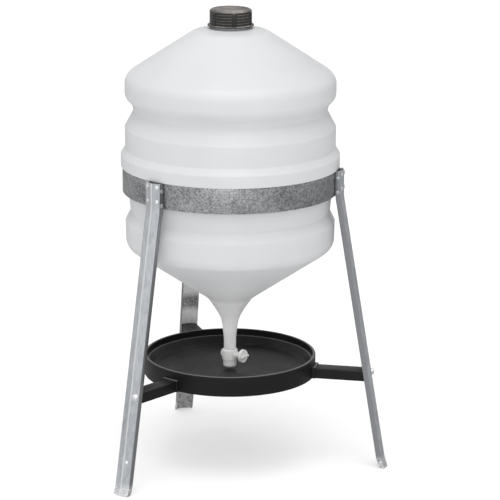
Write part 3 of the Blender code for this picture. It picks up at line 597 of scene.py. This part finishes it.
rivet_alloy, tree, shader = start_material("rivet_alloy", 0.34, 1.0)
brushed = noise(tree, placed(tree), 1400.0, 3.0)
feed(tree, shader.inputs["Base Color"], mixed(tree, brushed, (0.70, 0.71, 0.72, 1), (0.92, 0.92, 0.93, 1)))
feed(tree, shader.inputs["Roughness"], ranged(tree, brushed, 0.3, 0.7, 0.24, 0.42))

# The rivets through the flanges are rougher than those through the webs, and their darker colour is painted
# shade to go with the shaded flanges.
shaded_rivet_alloy, tree, shader = start_material("shaded_rivet_alloy", 0.5, 1.0)
shaded_rivet_tone = noise(tree, placed(tree), 900.0, 3.0)
feed(tree, shader.inputs["Base Color"], mixed(tree, shaded_rivet_tone, (0.40, 0.42, 0.44, 1), (0.56, 0.58, 0.60, 1)))
feed(tree, shader.inputs["Roughness"], ranged(tree, shaded_rivet_tone, 0.3, 0.7, 0.45, 0.62))

flange_rivet_y = (hoop_r + sheet_gap + leg_top_r - leg_gauge) / 2
for number, place in enumerate(leg_places, start=1):
    for row, z in (("upper", hoop_top_z - rivet_edge), ("lower", hoop_top_z - rivet_edge - rivet_pitch)):
        for side, sign in (("left", 1), ("right", -1)):
            seats = {
                "web": web_place(sign * rivet_offset, z),
                "flange": facing((sign * leg_width / 2, flange_rivet_y, z - rivet_stagger), (sign, 0, 0)),
            }
            for sheet, seat in seats.items():
                name = f"leg_{number}_{sheet}_rivet_{row}_{side}"
                finish = rivet_alloy if sheet == "web" else shaded_rivet_alloy
                finish_piece(name, rivet_shape(), finish, "stand", [name], place @ seat)


# Arm bolts: zinc-plated round-head screws with a cross recess, a plain washer under each head and a
# hexagon nut in a slot of the arm. They hold the tray's arms to the legs.

tray_low, tray_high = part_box("tray")
rim_z = tray_high.z
arm_height = 0.017
arm_drop = 0.0237  # from the tray's rim to the middle of the arm
arm_low_z = rim_z - arm_drop - arm_height / 2
arm_high_z = arm_low_z + arm_height
arm_wall = 0.003
arm_clearance = 0.0005
bolt_rise = 0.0028
bolt_seat = (-0.0085, rim_z - arm_drop + bolt_rise)  # across the web, and up
bolt_r = 0.002
bolt_clearance = 0.0004
bolt_head_r = 0.0052
bolt_head_height = 0.0032
washer_r = 0.0058
washer_thickness = 0.001
nut_width = 0.007
nut_thickness = 0.0032
nut_cover = 0.004  # arm wall over the nut
nut_depth = leg_gauge + arm_clearance + nut_cover + sheet_gap
bolt_tail = 0.002
recess_width = 0.0009
recess_reach = 0.0044
recess_depth = 0.0014

zinc_plate, tree, shader = start_material("zinc_plate", 0.28, 1.0)
plating = noise(tree, placed(tree), 520.0, 4.0)
feed(tree, shader.inputs["Base Color"], mixed(tree, plating, (0.80, 0.81, 0.83, 1), (0.95, 0.95, 0.95, 1)))
feed(tree, shader.inputs["Roughness"], ranged(tree, plating, 0.3, 0.7, 0.24, 0.42))


def block(low, high):
    """A box between two corners."""
    shape = bmesh.new()
    middle = Matrix.Translation((Vector(low) + Vector(high)) / 2)
    bmesh.ops.create_cube(shape, size=1, matrix=middle @ Matrix.Diagonal((*(Vector(high) - Vector(low)), 1)))
    return shape


def bolt_shape():
    """A low round head with a cross recess, on a plain shank that ends below the nut."""
    low = 2 * sheet_gap + washer_thickness
    top = low + bolt_head_height
    tail_end = -(nut_depth + nut_thickness + bolt_tail)
    corners = [(0, top, 0), (bolt_head_r * 0.55, top - 0.0001, 0.006), (bolt_head_r, low + 0.0008, 0.0014)]
    corners += [(bolt_head_r, low, 0.0002), (bolt_r, low, 0), (bolt_r, tail_end + 0.0004, 0)]
    bolt = spun(rounded(corners + [(bolt_r - 0.0004, tail_end, 0), (0, tail_end, 0)]), 48)
    for long_x, long_y in ((recess_reach, recess_width), (recess_width, recess_reach)):
        low_corner = (-long_x / 2, -long_y / 2, top - recess_depth)
        bolt = carved(bolt, block(low_corner, (long_x / 2, long_y / 2, top + cut_overrun)))
    return bolt


def washer_shape():
    """A flat ring with eased edges."""
    low = sheet_gap
    high = low + washer_thickness
    hole_r = bolt_r + sheet_gap
    ring = [(washer_r, low), (hole_r, low), (hole_r, high), (washer_r, high)]
    return ease_edges(spun(ring, 48, closed=True), 0.00015)


def nut_shape():
    """Hexagon bar cut to length, with its corners turned off and a hole through it."""
    corner_r = nut_width / math.sqrt(3)
    high = -nut_depth
    low = high - nut_thickness
    corner_turns = [math.radians(30 + 60 * side) for side in range(6)]
    hexagon = [Vector((math.cos(turn), math.sin(turn))) * corner_r for turn in corner_turns]
    turned_r = nut_width / 2
    lost = (corner_r - turned_r) * 0.6
    envelope = [(0, high), (turned_r, high), (corner_r, high - lost)]
    envelope += [(corner_r, low + lost), (turned_r, low), (0, low)]
    nut = carved(extruded(hexagon, (low, high)), spun(envelope, 48), "INTERSECT")
    nut_bore_r = bolt_r + sheet_gap
    drill_top = high + cut_overrun
    drill_end = low - cut_overrun
    drill = [(0, drill_top), (nut_bore_r, drill_top), (nut_bore_r, drill_end), (0, drill_end)]
    return carved(nut, spun(drill, 32))


for number, place in enumerate(leg_places, start=1):
    seat = place @ web_place(*bolt_seat)
    for kind, shape in (("bolt", bolt_shape()), ("washer", washer_shape()), ("nut", nut_shape())):
        name = f"arm_{number}_{kind}"
        finish_piece(name, shape, zinc_plate, "stand", [name], seat)


# Tray: one black polypropylene moulding, a round dish with a stepped rim and three hollow arms that are
# open below. A thicker collar runs round each arm where it leaves the dish.

tray_r = 0.142
rim_width = 0.005
tray_wall = 0.003
ledge_depth = 0.011
ledge_width = 0.003
floor_depth = 0.024
floor_fall = 0.0045
slope_width = 0.0075
arm_side_clearance = 0.0004
arm_width = leg_width - 2 * leg_gauge - 2 * arm_side_clearance  # it fills the channel of the leg
arm_root = 0.0026  # how far the arm and its collar reach into the dish's skirt
arm_lug = 0.017
collar_border = 0.0022
collar_length = 0.005
lie_down = Matrix.Rotation(-math.pi / 2, 4, "X")  # turns an outline drawn up Z to run along Y


def dish_shape():
    """The round dish: a floor that falls to its middle, a ledge, the rim and the skirt outside."""
    skirt_low = tray_low.z
    wall_r = tray_r - rim_width
    ledge_r = wall_r - ledge_width
    floor_r = ledge_r - slope_width
    floor_edge_z = rim_z - floor_depth
    ledge_z = rim_z - ledge_depth
    corners = [
        (0, floor_edge_z - floor_fall, 0),
        (floor_r, floor_edge_z, 0.006),
        (ledge_r, ledge_z, 0.0007),
        (wall_r, ledge_z, 0.0005),
        (wall_r, rim_z, 0.0014),
        (tray_r, rim_z, 0.0020),
        (tray_r, skirt_low, 0.0010),
        (tray_r - tray_wall, skirt_low, 0.0008),
        (tray_r - tray_wall, ledge_z - tray_wall, 0.0015),
        (ledge_r + 0.001, ledge_z - tray_wall, 0.003),
        (floor_r + 0.001, floor_edge_z - tray_wall, 0.006),
        (0, floor_edge_z - floor_fall - tray_wall, 0),
    ]
    return spun(rounded(corners, math.radians(15)), 144)


def laid_out(outline, start, end):
    """An outline of (x, z) points drawn along Y from start to end."""
    shape = extruded([(x, -z) for x, z in outline], (start, end))
    shape.transform(lie_down)
    bmesh.ops.recalc_face_normals(shape, faces=shape.faces)
    return shape


def arm_shape():
    """A square bar from the skirt into the leg, its end shaped to the inside of the web."""
    half = arm_width / 2
    outline = [(-half, arm_low_z), (0, arm_low_z), (half, arm_low_z)]
    outline += [(half, arm_high_z), (0, arm_high_z), (-half, arm_high_z)]
    end = leg_radius(arm_low_z)
    arm = laid_out(outline, tray_r - arm_root, end)
    web_inset = leg_gauge / math.cos(math.atan2(leg_ridge, leg_width / 2))
    for vert in arm.verts:
        if vert.co.y > end - 1e-4:
            vert.co.y = web_outer(vert.co.x, vert.co.z) - web_inset - arm_clearance
    return ease_edges(arm, 0.0009, 3, 25)


def collar_shape():
    """The thicker block where an arm leaves the skirt."""
    half = arm_width / 2 + collar_border
    low = (-half, tray_r - arm_root, arm_low_z)
    high = (half, tray_r + collar_length, arm_high_z + collar_border)
    return ease_edges(block(low, high), 0.0012, 3, 25)


def arm_tools():
    """Hollow under the arm, the nut's slot and the bolt's hole."""
    inner = arm_width / 2 - arm_wall
    lug_start = leg_radius(arm_high_z) - leg_gauge - arm_clearance - arm_lug
    hollow_low = (-inner, tray_r + arm_wall, arm_low_z - cut_overrun)
    hollow = block(hollow_low, (inner, lug_start, arm_high_z - arm_wall))
    seat = web_place(*bolt_seat)
    slot_top = sheet_gap - nut_depth
    slot_low = slot_top - nut_thickness - 2 * sheet_gap
    side = nut_width / 2 + sheet_gap
    slot = block((-side, -arm_height, slot_low), (side, nut_width / math.sqrt(3) + sheet_gap, slot_top))
    hole_r = bolt_r + bolt_clearance
    end = slot_low - bolt_tail - 2 * sheet_gap
    hole = spun([(0, cut_overrun), (hole_r, cut_overrun), (hole_r, end), (0, end)], 24)
    slot.transform(seat)
    hole.transform(seat)
    return hollow, slot, hole


# Moulded plastic: a fine sparked grain, faint flow marks, and pale dust and rubbed spots where they gather.
# The pale colour on upward faces is partly dust and partly painted light falling from above.
moulded, moulded_in, moulded_out = start_group(
    "moulded_plastic",
    (
        ("Place", "Vector", None),
        ("Body", "Color", (0.02, 0.02, 0.02, 1)),
        ("Dust", "Color", (0.2, 0.19, 0.18, 1)),
        ("Dusty", "Float", 0.2),
        ("Grain", "Float", 900.0),
    ),
    (("Colour", "Color"), ("Roughness", "Float"), ("Height", "Float")),
)
grain = noise(moulded, moulded_in["Place"], moulded_in["Grain"], 2.0)
flow = noise(moulded, moulded_in["Place"], 14.0, 5.0, 0.6)
speck = noise(moulded, moulded_in["Place"], 160.0, 5.0, 0.7)
way_it_faces = add_node(moulded, "TexCoord").outputs["Normal"]
facing_up = add_node(moulded, "SeparateXYZ", Vector=way_it_faces).outputs["Z"]
upward_share = ranged(moulded, facing_up, 0.25, 0.95, 0.05, 1.0)
specked = ranged(moulded, speck, 0.3, 0.7, 0.35, 1.0)
patchy = maths(moulded, "MULTIPLY", ranged(moulded, flow, 0.35, 0.7), specked)
dust_and_top_light = maths(moulded, "MULTIPLY", maths(moulded, "MULTIPLY", upward_share, patchy), moulded_in["Dusty"])
sheen = ranged(moulded, flow, 0.3, 0.7, 0.3, 0.44)
feed(moulded, moulded_out["Colour"], mixed(moulded, dust_and_top_light, moulded_in["Body"], moulded_in["Dust"]))
feed(moulded, moulded_out["Roughness"], maths(moulded, "ADD", sheen, dust_and_top_light))
feed(moulded, moulded_out["Height"], grain)

tray_plastic, tree, shader = start_material("tray_plastic", 0.4)
# The pale colour on the tray's upward faces is partly dust and partly painted light from above.
skin = use_group(
    tree,
    moulded,
    Place=placed(tree),
    Body=(0.006, 0.006, 0.0063, 1),
    Dust=(0.17, 0.165, 0.16, 1),
    Dusty=0.3,
    Grain=1100.0,
)
from_axis = placed(tree, (1, 1, 0), (0, -axis_y, 0))
ring_r = add_node(tree, "VectorMath", {"operation": "LENGTH"}, Vector=from_axis).outputs["Value"]
# Painted highlight: thin pale rings on the upward faces of the ledge, the rim and the collars' tops.
ledge_middle_r = tray_r - rim_width - ledge_width / 2
highlight_radii = (ledge_middle_r, tray_r - rim_width / 2, tray_r + collar_length * 0.7)  # ledge, rim, collars
off_rings = [maths(tree, "ABSOLUTE", maths(tree, "SUBTRACT", ring_r, radius)) for radius in highlight_radii]
off_ring = maths(tree, "MINIMUM", maths(tree, "MINIMUM", off_rings[0], off_rings[1]), off_rings[2])
level = add_node(tree, "SeparateXYZ", Vector=add_node(tree, "TexCoord").outputs["Normal"]).outputs["Z"]
painted_edge_highlight = maths(tree, "MULTIPLY", ranged(tree, off_ring, 0.0022, 0.0012, 0, 0.8), ranged(tree, level, 0.5, 0.9))
feed(tree, shader.inputs["Base Color"], mixed(tree, painted_edge_highlight, skin["Colour"], (0.17, 0.165, 0.16, 1)))
feed(tree, shader.inputs["Roughness"], skin["Roughness"])
shader.inputs["Specular IOR Level"].default_value = 0.2
tray_bump = add_node(tree, "Bump", Strength=0.5, Distance=0.0001, Height=skin["Height"])
feed(tree, shader.inputs["Normal"], tray_bump.outputs[0])

tray = dish_shape()
for turn in leg_turns:
    for shape in (arm_shape(), collar_shape()):
        shape.transform(turn)
        tray = carved(tray, shape, "UNION")
for turn in leg_turns:
    for tool in arm_tools():
        tool.transform(turn)
        tray = carved(tray, tool)
finish_piece("tray", tray, tray_plastic, "stand", ["tray"], on_axis)


# Tank: blow-moulded polyethylene, milky and slightly see-through, with a cone top, a ribbed wall, a bead
# that sits on the hoop and a funnel that runs into the spout. A fine parting line runs down both sides.

seat_z = hoop_top_z + sheet_gap
tank_wall = 0.003
neck_r = 0.0290
tank_r = 0.171
bead_r = 0.178
spout_r = 0.0101
crown_z = seat_z + 0.2195
thread_depth = 0.0016
thread_root = 0.0013  # half the ridge's width at its root and at its crest
thread_crest = 0.0005
thread_sunk = 0.0004  # how far a thread's root goes into its wall
thread_pitch = 0.006
thread_turns = 1.25
neck_thread_z = crown_z + 0.014
parting_turn = math.radians(-18)  # the mould closed across this direction
parting_half = 0.0006
parting_height = 0.00025


def tank_outline(seat):
    """Outer outline from the mouth down to the end of the spout, as (radius, height, fillet)."""
    return [
        (neck_r - 0.0008, tank_high.z, 0),
        (neck_r, tank_high.z - 0.0008, 0),
        (neck_r, crown_z + 0.006, 0.003),
        (0.0605, crown_z, 0.025),
        (tank_r, seat + 0.147, 0.024),
        (tank_r, seat + 0.114, 0.016),
        (0.1593, seat + 0.102, 0.012),
        (0.157, seat + 0.090, 0.008),
        (tank_r, seat + 0.0645, 0.008),
        (tank_r, seat + 0.0305, 0.006),
        (bead_r, seat + 0.0195, 0.004),
        (bead_r, seat, 0.0012),
        (tank_r - 0.001, seat, 0.0015),
        (0.1625, seat - 0.0754, 0.005),
        (tank_r, seat - 0.0919, 0.006),
        (tank_r - 0.001, seat - 0.1324, 0.022),
        (0.0371, seat - 0.2236, 0.040),
        (0.0139, seat - 0.2593, 0.060),
        (spout_r, seat - 0.2948, 0.080),
        (spout_r, tank_low.z, 0),
    ]


def thread_shape(root_r, crest_r, low_z):
    """A thread ridge that climbs one pitch in a turn."""
    shape = bmesh.new()
    steps = round(72 * thread_turns)
    section = [(root_r, -thread_root), (crest_r, -thread_crest)]
    section += [(crest_r, thread_crest), (root_r, thread_root)]
    verts = [shape.verts.new((r, 0, low_z + z)) for r, z in section]
    face = shape.faces.new(verts)
    bmesh.ops.spin(
        shape,
        geom=verts + face.edges[:] + [face],
        cent=(0, 0, 0),
        axis=(0, 0, 1),
        dvec=(0, 0, thread_pitch * thread_turns / steps),
        angle=2 * math.pi * thread_turns,
        steps=steps,
    )
    bmesh.ops.recalc_face_normals(shape, faces=shape.faces)
    return shape


def add_parting_line(shape):
    """Raises a fine line down both sides of a turned shape, where the two halves of the mould met."""
    normal = Vector((math.sin(parting_turn), -math.cos(parting_turn), 0))
    for offset in (-parting_half, 0, parting_half):
        geometry = shape.verts[:] + shape.edges[:] + shape.faces[:]
        bmesh.ops.bisect_plane(shape, geom=geometry, plane_co=normal * offset, plane_no=normal, dist=1e-7)
    shape.normal_update()
    for vert in shape.verts:
        outside = vert.normal.xy.dot(vert.co.xy) + vert.normal.z * 0.02 > 0
        if abs(normal.dot(vert.co)) < parting_half / 4 and outside and vert.co.xy.length > neck_r * 1.05:
            vert.co += vert.normal * parting_height
    return shape


tank_plastic, tree, shader = start_material("tank_plastic", 0.38)
clouded = noise(tree, placed(tree), 7.0, 3.0)
cloudy_tone = mixed(tree, ranged(tree, clouded, 0.35, 0.65), (0.56, 0.568, 0.575, 1), (0.59, 0.597, 0.607, 1))
own_height = add_node(tree, "SeparateXYZ", Vector=placed(tree)).outputs["Z"]
# Painted light: the funnel and spout get a much paler colour towards the bottom, lifting them out of the
# shade near the black tray.
painted_lift_low = mixed(tree, ranged(tree, own_height, 0.33, 0.22, 0, 0.9), cloudy_tone, (0.93, 0.93, 0.925, 1))
peel = noise(tree, placed(tree), 170.0, 2.0)
scuffs = noise(tree, placed(tree, (1, 1, 8)), 60.0, 6.0, 0.75)
scuffed = ranged(tree, scuffs, 0.66, 0.8, 0, 0.5)
feed(tree, shader.inputs["Base Color"], mixed(tree, scuffed, painted_lift_low, (0.66, 0.66, 0.65, 1)))
feed(tree, shader.inputs["Roughness"], ranged(tree, scuffs, 0.4, 0.75, 0.36, 0.5))
tank_bump = add_node(tree, "Bump", Strength=0.15, Distance=0.0002, Height=peel)
feed(tree, shader.inputs["Normal"], tank_bump.outputs[0])
shader.inputs["Subsurface Weight"].default_value = 0.3
shader.inputs["Subsurface Radius"].default_value = (1.0, 1.0, 1.0)
shader.inputs["Subsurface Scale"].default_value = 0.012
shader.inputs["Specular IOR Level"].default_value = 0.4


def joined(shape, other):
    """Adds the other shape's faces to this one's."""
    mesh = bpy.data.meshes.new("joined")
    other.to_mesh(mesh)
    other.free()
    shape.from_mesh(mesh)
    bpy.data.meshes.remove(mesh)
    return shape


outer = rounded(tank_outline(seat_z), math.radians(6))
tank = add_parting_line(spun(outer + beside(outer, tank_wall)[::-1], 128, closed=True))
joined(tank, thread_shape(neck_r - thread_sunk, neck_r + thread_depth, neck_thread_z))
finish_piece("tank", tank, tank_plastic, "tank", ["tank"], on_axis)


# Screw cap: black polypropylene with a bevelled, slightly dished top, six grip lugs, fine ribs between
# them and a thin skirt. The rubber seal inside makes the tank airtight, so that it feeds by siphon.

cap_low, cap_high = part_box("cap")
seal_low, seal_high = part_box("cap_seal")
thread_play = 0.0008
cap_bore_r = neck_r + thread_depth + thread_play
cap_wall = 0.0026
cap_r = cap_bore_r + cap_wall
cap_skirt_r = cap_r + 0.0035
skirt_height = 0.0022
cap_bevel = 0.003
cap_dish = 0.001
cap_ribs = 4
rib_height = 0.0005
lug_count = 6
lug_azimuth = 22
lug_width = 0.006
lug_height = 0.0014
lug_sunk = 0.002
lug_flare = 0.0012  # how much wider the root is than the middle, on each side
lug_taper = 0.0006


def cap_profile():
    """The cap in section, from the middle of its top to the middle of its underside."""
    top = cap_high.z
    skirt_z = cap_low.z + skirt_height
    corners = [
        (0, top - cap_dish, 0),
        (cap_r - cap_bevel - 0.0045, top - cap_dish, 0.002),
        (cap_r - cap_bevel - 0.0030, top, 0.001),
        (cap_r - cap_bevel, top - 0.0002, 0.002),
        (cap_r + 0.0004, top - cap_bevel, 0.0012),
        (cap_r - rib_height, top - cap_bevel - 0.0012, 0),
    ]
    rib_pitch = (top - cap_bevel - 0.003 - skirt_z) / cap_ribs
    for rib in range(cap_ribs):
        z = top - cap_bevel - 0.002 - rib_pitch * (rib + 0.25)
        corners += [(cap_r - rib_height, z, 0.0003), (cap_r, z - 0.0006, 0.0003), (cap_r, z - 0.0012, 0.0003)]
        corners.append((cap_r - rib_height, z - 0.0018, 0.0003))
    corners += [
        (cap_r - rib_height, skirt_z, 0.0006),
        (cap_skirt_r, skirt_z - 0.0006, 0.0006),
        (cap_skirt_r, cap_low.z, 0.0004),
        (cap_bore_r, cap_low.z, 0.0004),
        (cap_bore_r, seal_high.z + sheet_gap, 0.0006),
        (0, seal_high.z + sheet_gap, 0),
    ]
    return rounded(corners, math.radians(18))


def lug_shape():
    """A grip lug, wider at its root, rounded over at its top."""
    low = cap_low.z + skirt_height - 0.0005
    high = cap_high.z - cap_bevel - 0.0002
    half = lug_width / 2
    outline = [(cap_r - lug_sunk, half + lug_flare), (cap_r + lug_height, half - lug_taper)]
    outline += [(cap_r + lug_height, lug_taper - half), (cap_r - lug_sunk, -half - lug_flare)]
    return ease_edges(extruded(outline, (low, high)), 0.0006, 3, 25)


cap_plastic, tree, shader = start_material("cap_plastic", 0.4)
# The pale colour on the cap's top is partly dust and partly painted light from above.
skin = use_group(
    tree,
    moulded,
    Place=placed(tree),
    Body=(0.014, 0.014, 0.014, 1),
    Dust=(0.52, 0.48, 0.45, 1),
    Dusty=1.0,
    Grain=1300.0,
)
shader.inputs["Specular IOR Level"].default_value = 0.3
feed(tree, shader.inputs["Base Color"], skin["Colour"])
feed(tree, shader.inputs["Roughness"], skin["Roughness"])
cap_bump = add_node(tree, "Bump", Strength=0.3, Distance=0.0001, Height=skin["Height"])
feed(tree, shader.inputs["Normal"], cap_bump.outputs[0])

cap = spun(cap_profile(), 120)
for lug in range(lug_count):
    shape = lug_shape()
    shape.transform(Matrix.Rotation(math.radians(lug_azimuth + 360 * lug / lug_count), 4, "Z"))
    joined(cap, shape)
cap_thread_z = neck_thread_z - thread_pitch / 2
joined(cap, thread_shape(cap_bore_r + thread_sunk, cap_bore_r - thread_depth, cap_thread_z))
finish_piece("cap", cap, cap_plastic, "cap", ["cap"], on_axis)

seal_rubber, tree, shader = start_material("seal_rubber", 0.7)
chalking = noise(tree, placed(tree), 220.0, 4.0)
feed(tree, shader.inputs["Base Color"], mixed(tree, chalking, (0.02, 0.02, 0.02, 1), (0.05, 0.05, 0.05, 1)))
feed(tree, shader.inputs["Roughness"], ranged(tree, chalking, 0.3, 0.7, 0.6, 0.8))

seal_r = cap_bore_r - sheet_gap
seal_bore_r = neck_r - tank_wall
seal = [(seal_r, seal_high.z), (seal_r, seal_low.z), (seal_bore_r, seal_low.z), (seal_bore_r, seal_high.z)]
seal_ring = ease_edges(spun(seal, 96, closed=True), 0.0004)
finish_piece("cap_seal", seal_ring, seal_rubber, "cap_seal", ["cap_seal"], on_axis)


# Tap: a white polyethylene body pushed into the spout, with a nozzle that dips below the tray's rim, and
# a quarter-turn key. The key is a cross plug with a port, two sealing rings and a round knob with a bar.

tap_low, tap_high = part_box("tap_body")
tap_r = 0.01275
tap_half = 0.009
tap_z = tank_low.z - sheet_gap - tap_half
tap_place = Matrix.Translation((0, axis_y, tap_z)) @ Matrix.Rotation(math.radians(-54), 4, "Z")
tap_chamfer = 0.002
nozzle_r = 0.011
nozzle_round = 0.0025
bore_r = 0.0047
spigot_r = spout_r - tank_wall - sheet_gap
plug_r = 0.0065
snap_lip = 0.0007  # holds the plug in the tap
barrel_r = plug_r + 0.0003
port_r = 0.0042
stem_r = 0.004
knob_r = 0.011
knob_thickness = 0.006
knob_reach = 0.029
knob_rim = 0.0013
knob_dish = 0.0012
grip_width = 0.004
grip_height = 0.0035
ring_section = 0.0016
ring_place = 0.0095
ring_groove = 0.0022
ring_sides = 14
lay_along_x = Matrix.Rotation(math.pi / 2, 4, "Y")

tap_plastic, tree, shader = start_material("tap_plastic", 0.36)
shade = noise(tree, placed(tree), 45.0, 3.0)
feed(tree, shader.inputs["Base Color"], mixed(tree, shade, (0.84, 0.84, 0.83, 1), (0.90, 0.90, 0.89, 1)))
feed(tree, shader.inputs["Roughness"], ranged(tree, shade, 0.3, 0.7, 0.32, 0.42))
shader.inputs["Subsurface Weight"].default_value = 0.3
shader.inputs["Subsurface Radius"].default_value = (1.0, 1.0, 1.0)
shader.inputs["Subsurface Scale"].default_value = 0.006


def tap_body_shape():
    """Spigot, body and nozzle in one turning, bored through and crossed by the plug's barrel."""
    low = tap_low.z - tap_z
    high = tap_high.z - tap_z
    corners = [
        (spigot_r, high, 0),
        (spigot_r, tap_half, 0.0006),
        (tap_r - tap_chamfer, tap_half, 0.0008),
        (tap_r, tap_half - tap_chamfer, 0.0008),
        (tap_r, -tap_half, 0.0006),
        (nozzle_r, -tap_half, 0.0006),
        (nozzle_r, low, nozzle_round),
        (bore_r, low, 0.0006),
        (bore_r, high, 0),
    ]
    body = spun(rounded(corners, math.radians(15)), 72, closed=True)
    barrel_end = tap_r + cut_overrun
    barrel = spun([(0, barrel_end), (barrel_r, barrel_end), (barrel_r, -barrel_end), (0, -barrel_end)], 48)
    barrel.transform(lay_along_x)
    return ease_edges(carved(body, barrel), 0.0002, 2, 40)


def tap_key_shape():
    """Plug with its ring grooves, stem and knob in one turning, with the finger bar and the port."""
    groove_r = barrel_r - ring_section
    back = -tap_r - 0.0003
    face = knob_reach - knob_dish
    corners = [(0, face, 0), (knob_r - 0.0016, face, 0.0004), (knob_r - knob_rim, knob_reach, 0.0005)]
    corners += [(knob_r, knob_reach, 0.001), (knob_r, knob_reach - knob_thickness, 0.0012)]
    corners += [(stem_r, knob_reach - knob_thickness, 0.0006), (stem_r, tap_r + 0.001, 0.0004)]
    corners += [(plug_r, tap_r + 0.001, 0.0004)]
    for place in (ring_place, -ring_place):
        corners += [(plug_r, place + ring_groove / 2, 0), (groove_r, place + ring_groove / 2, 0)]
        corners += [(groove_r, place - ring_groove / 2, 0), (plug_r, place - ring_groove / 2, 0)]
    corners += [(plug_r, back, 0), (plug_r + snap_lip, back, 0)]
    corners += [(plug_r, back - 0.001, 0), (0, back - 0.001, 0)]
    key = spun(rounded(corners, math.radians(18)), 64)
    key.transform(lay_along_x)
    half = grip_width / 2
    reach = knob_r - knob_rim
    bar = block((face - 0.001, -reach, -half), (knob_reach + grip_height, reach, half))
    joined(key, ease_edges(bar, 0.0012, 3))
    port_half = plug_r + cut_overrun
    port = spun([(0, port_half), (port_r, port_half), (port_r, -port_half), (0, -port_half)], 32)
    return carved(key, port)


finish_piece("tap_body", tap_body_shape(), tap_plastic, "tank", ["tap_body"], tap_place)
finish_piece("tap_key", tap_key_shape(), tap_plastic, "tap_key", ["tap_key"], tap_place)

for side, place in (("outer", ring_place), ("inner", -ring_place)):
    section_r = ring_section / 2 - sheet_gap / 2
    middle_r = barrel_r - ring_section / 2
    turns = [2 * math.pi * step / ring_sides for step in range(ring_sides)]
    circle = [(middle_r + section_r * math.cos(turn), place - section_r * math.sin(turn)) for turn in turns]
    ring = spun(circle, 48, closed=True)
    ring.transform(lay_along_x)
    name = f"tap_ring_{side}"
    finish_piece(name, ring, seal_rubber, "tap_key", [name], tap_place)
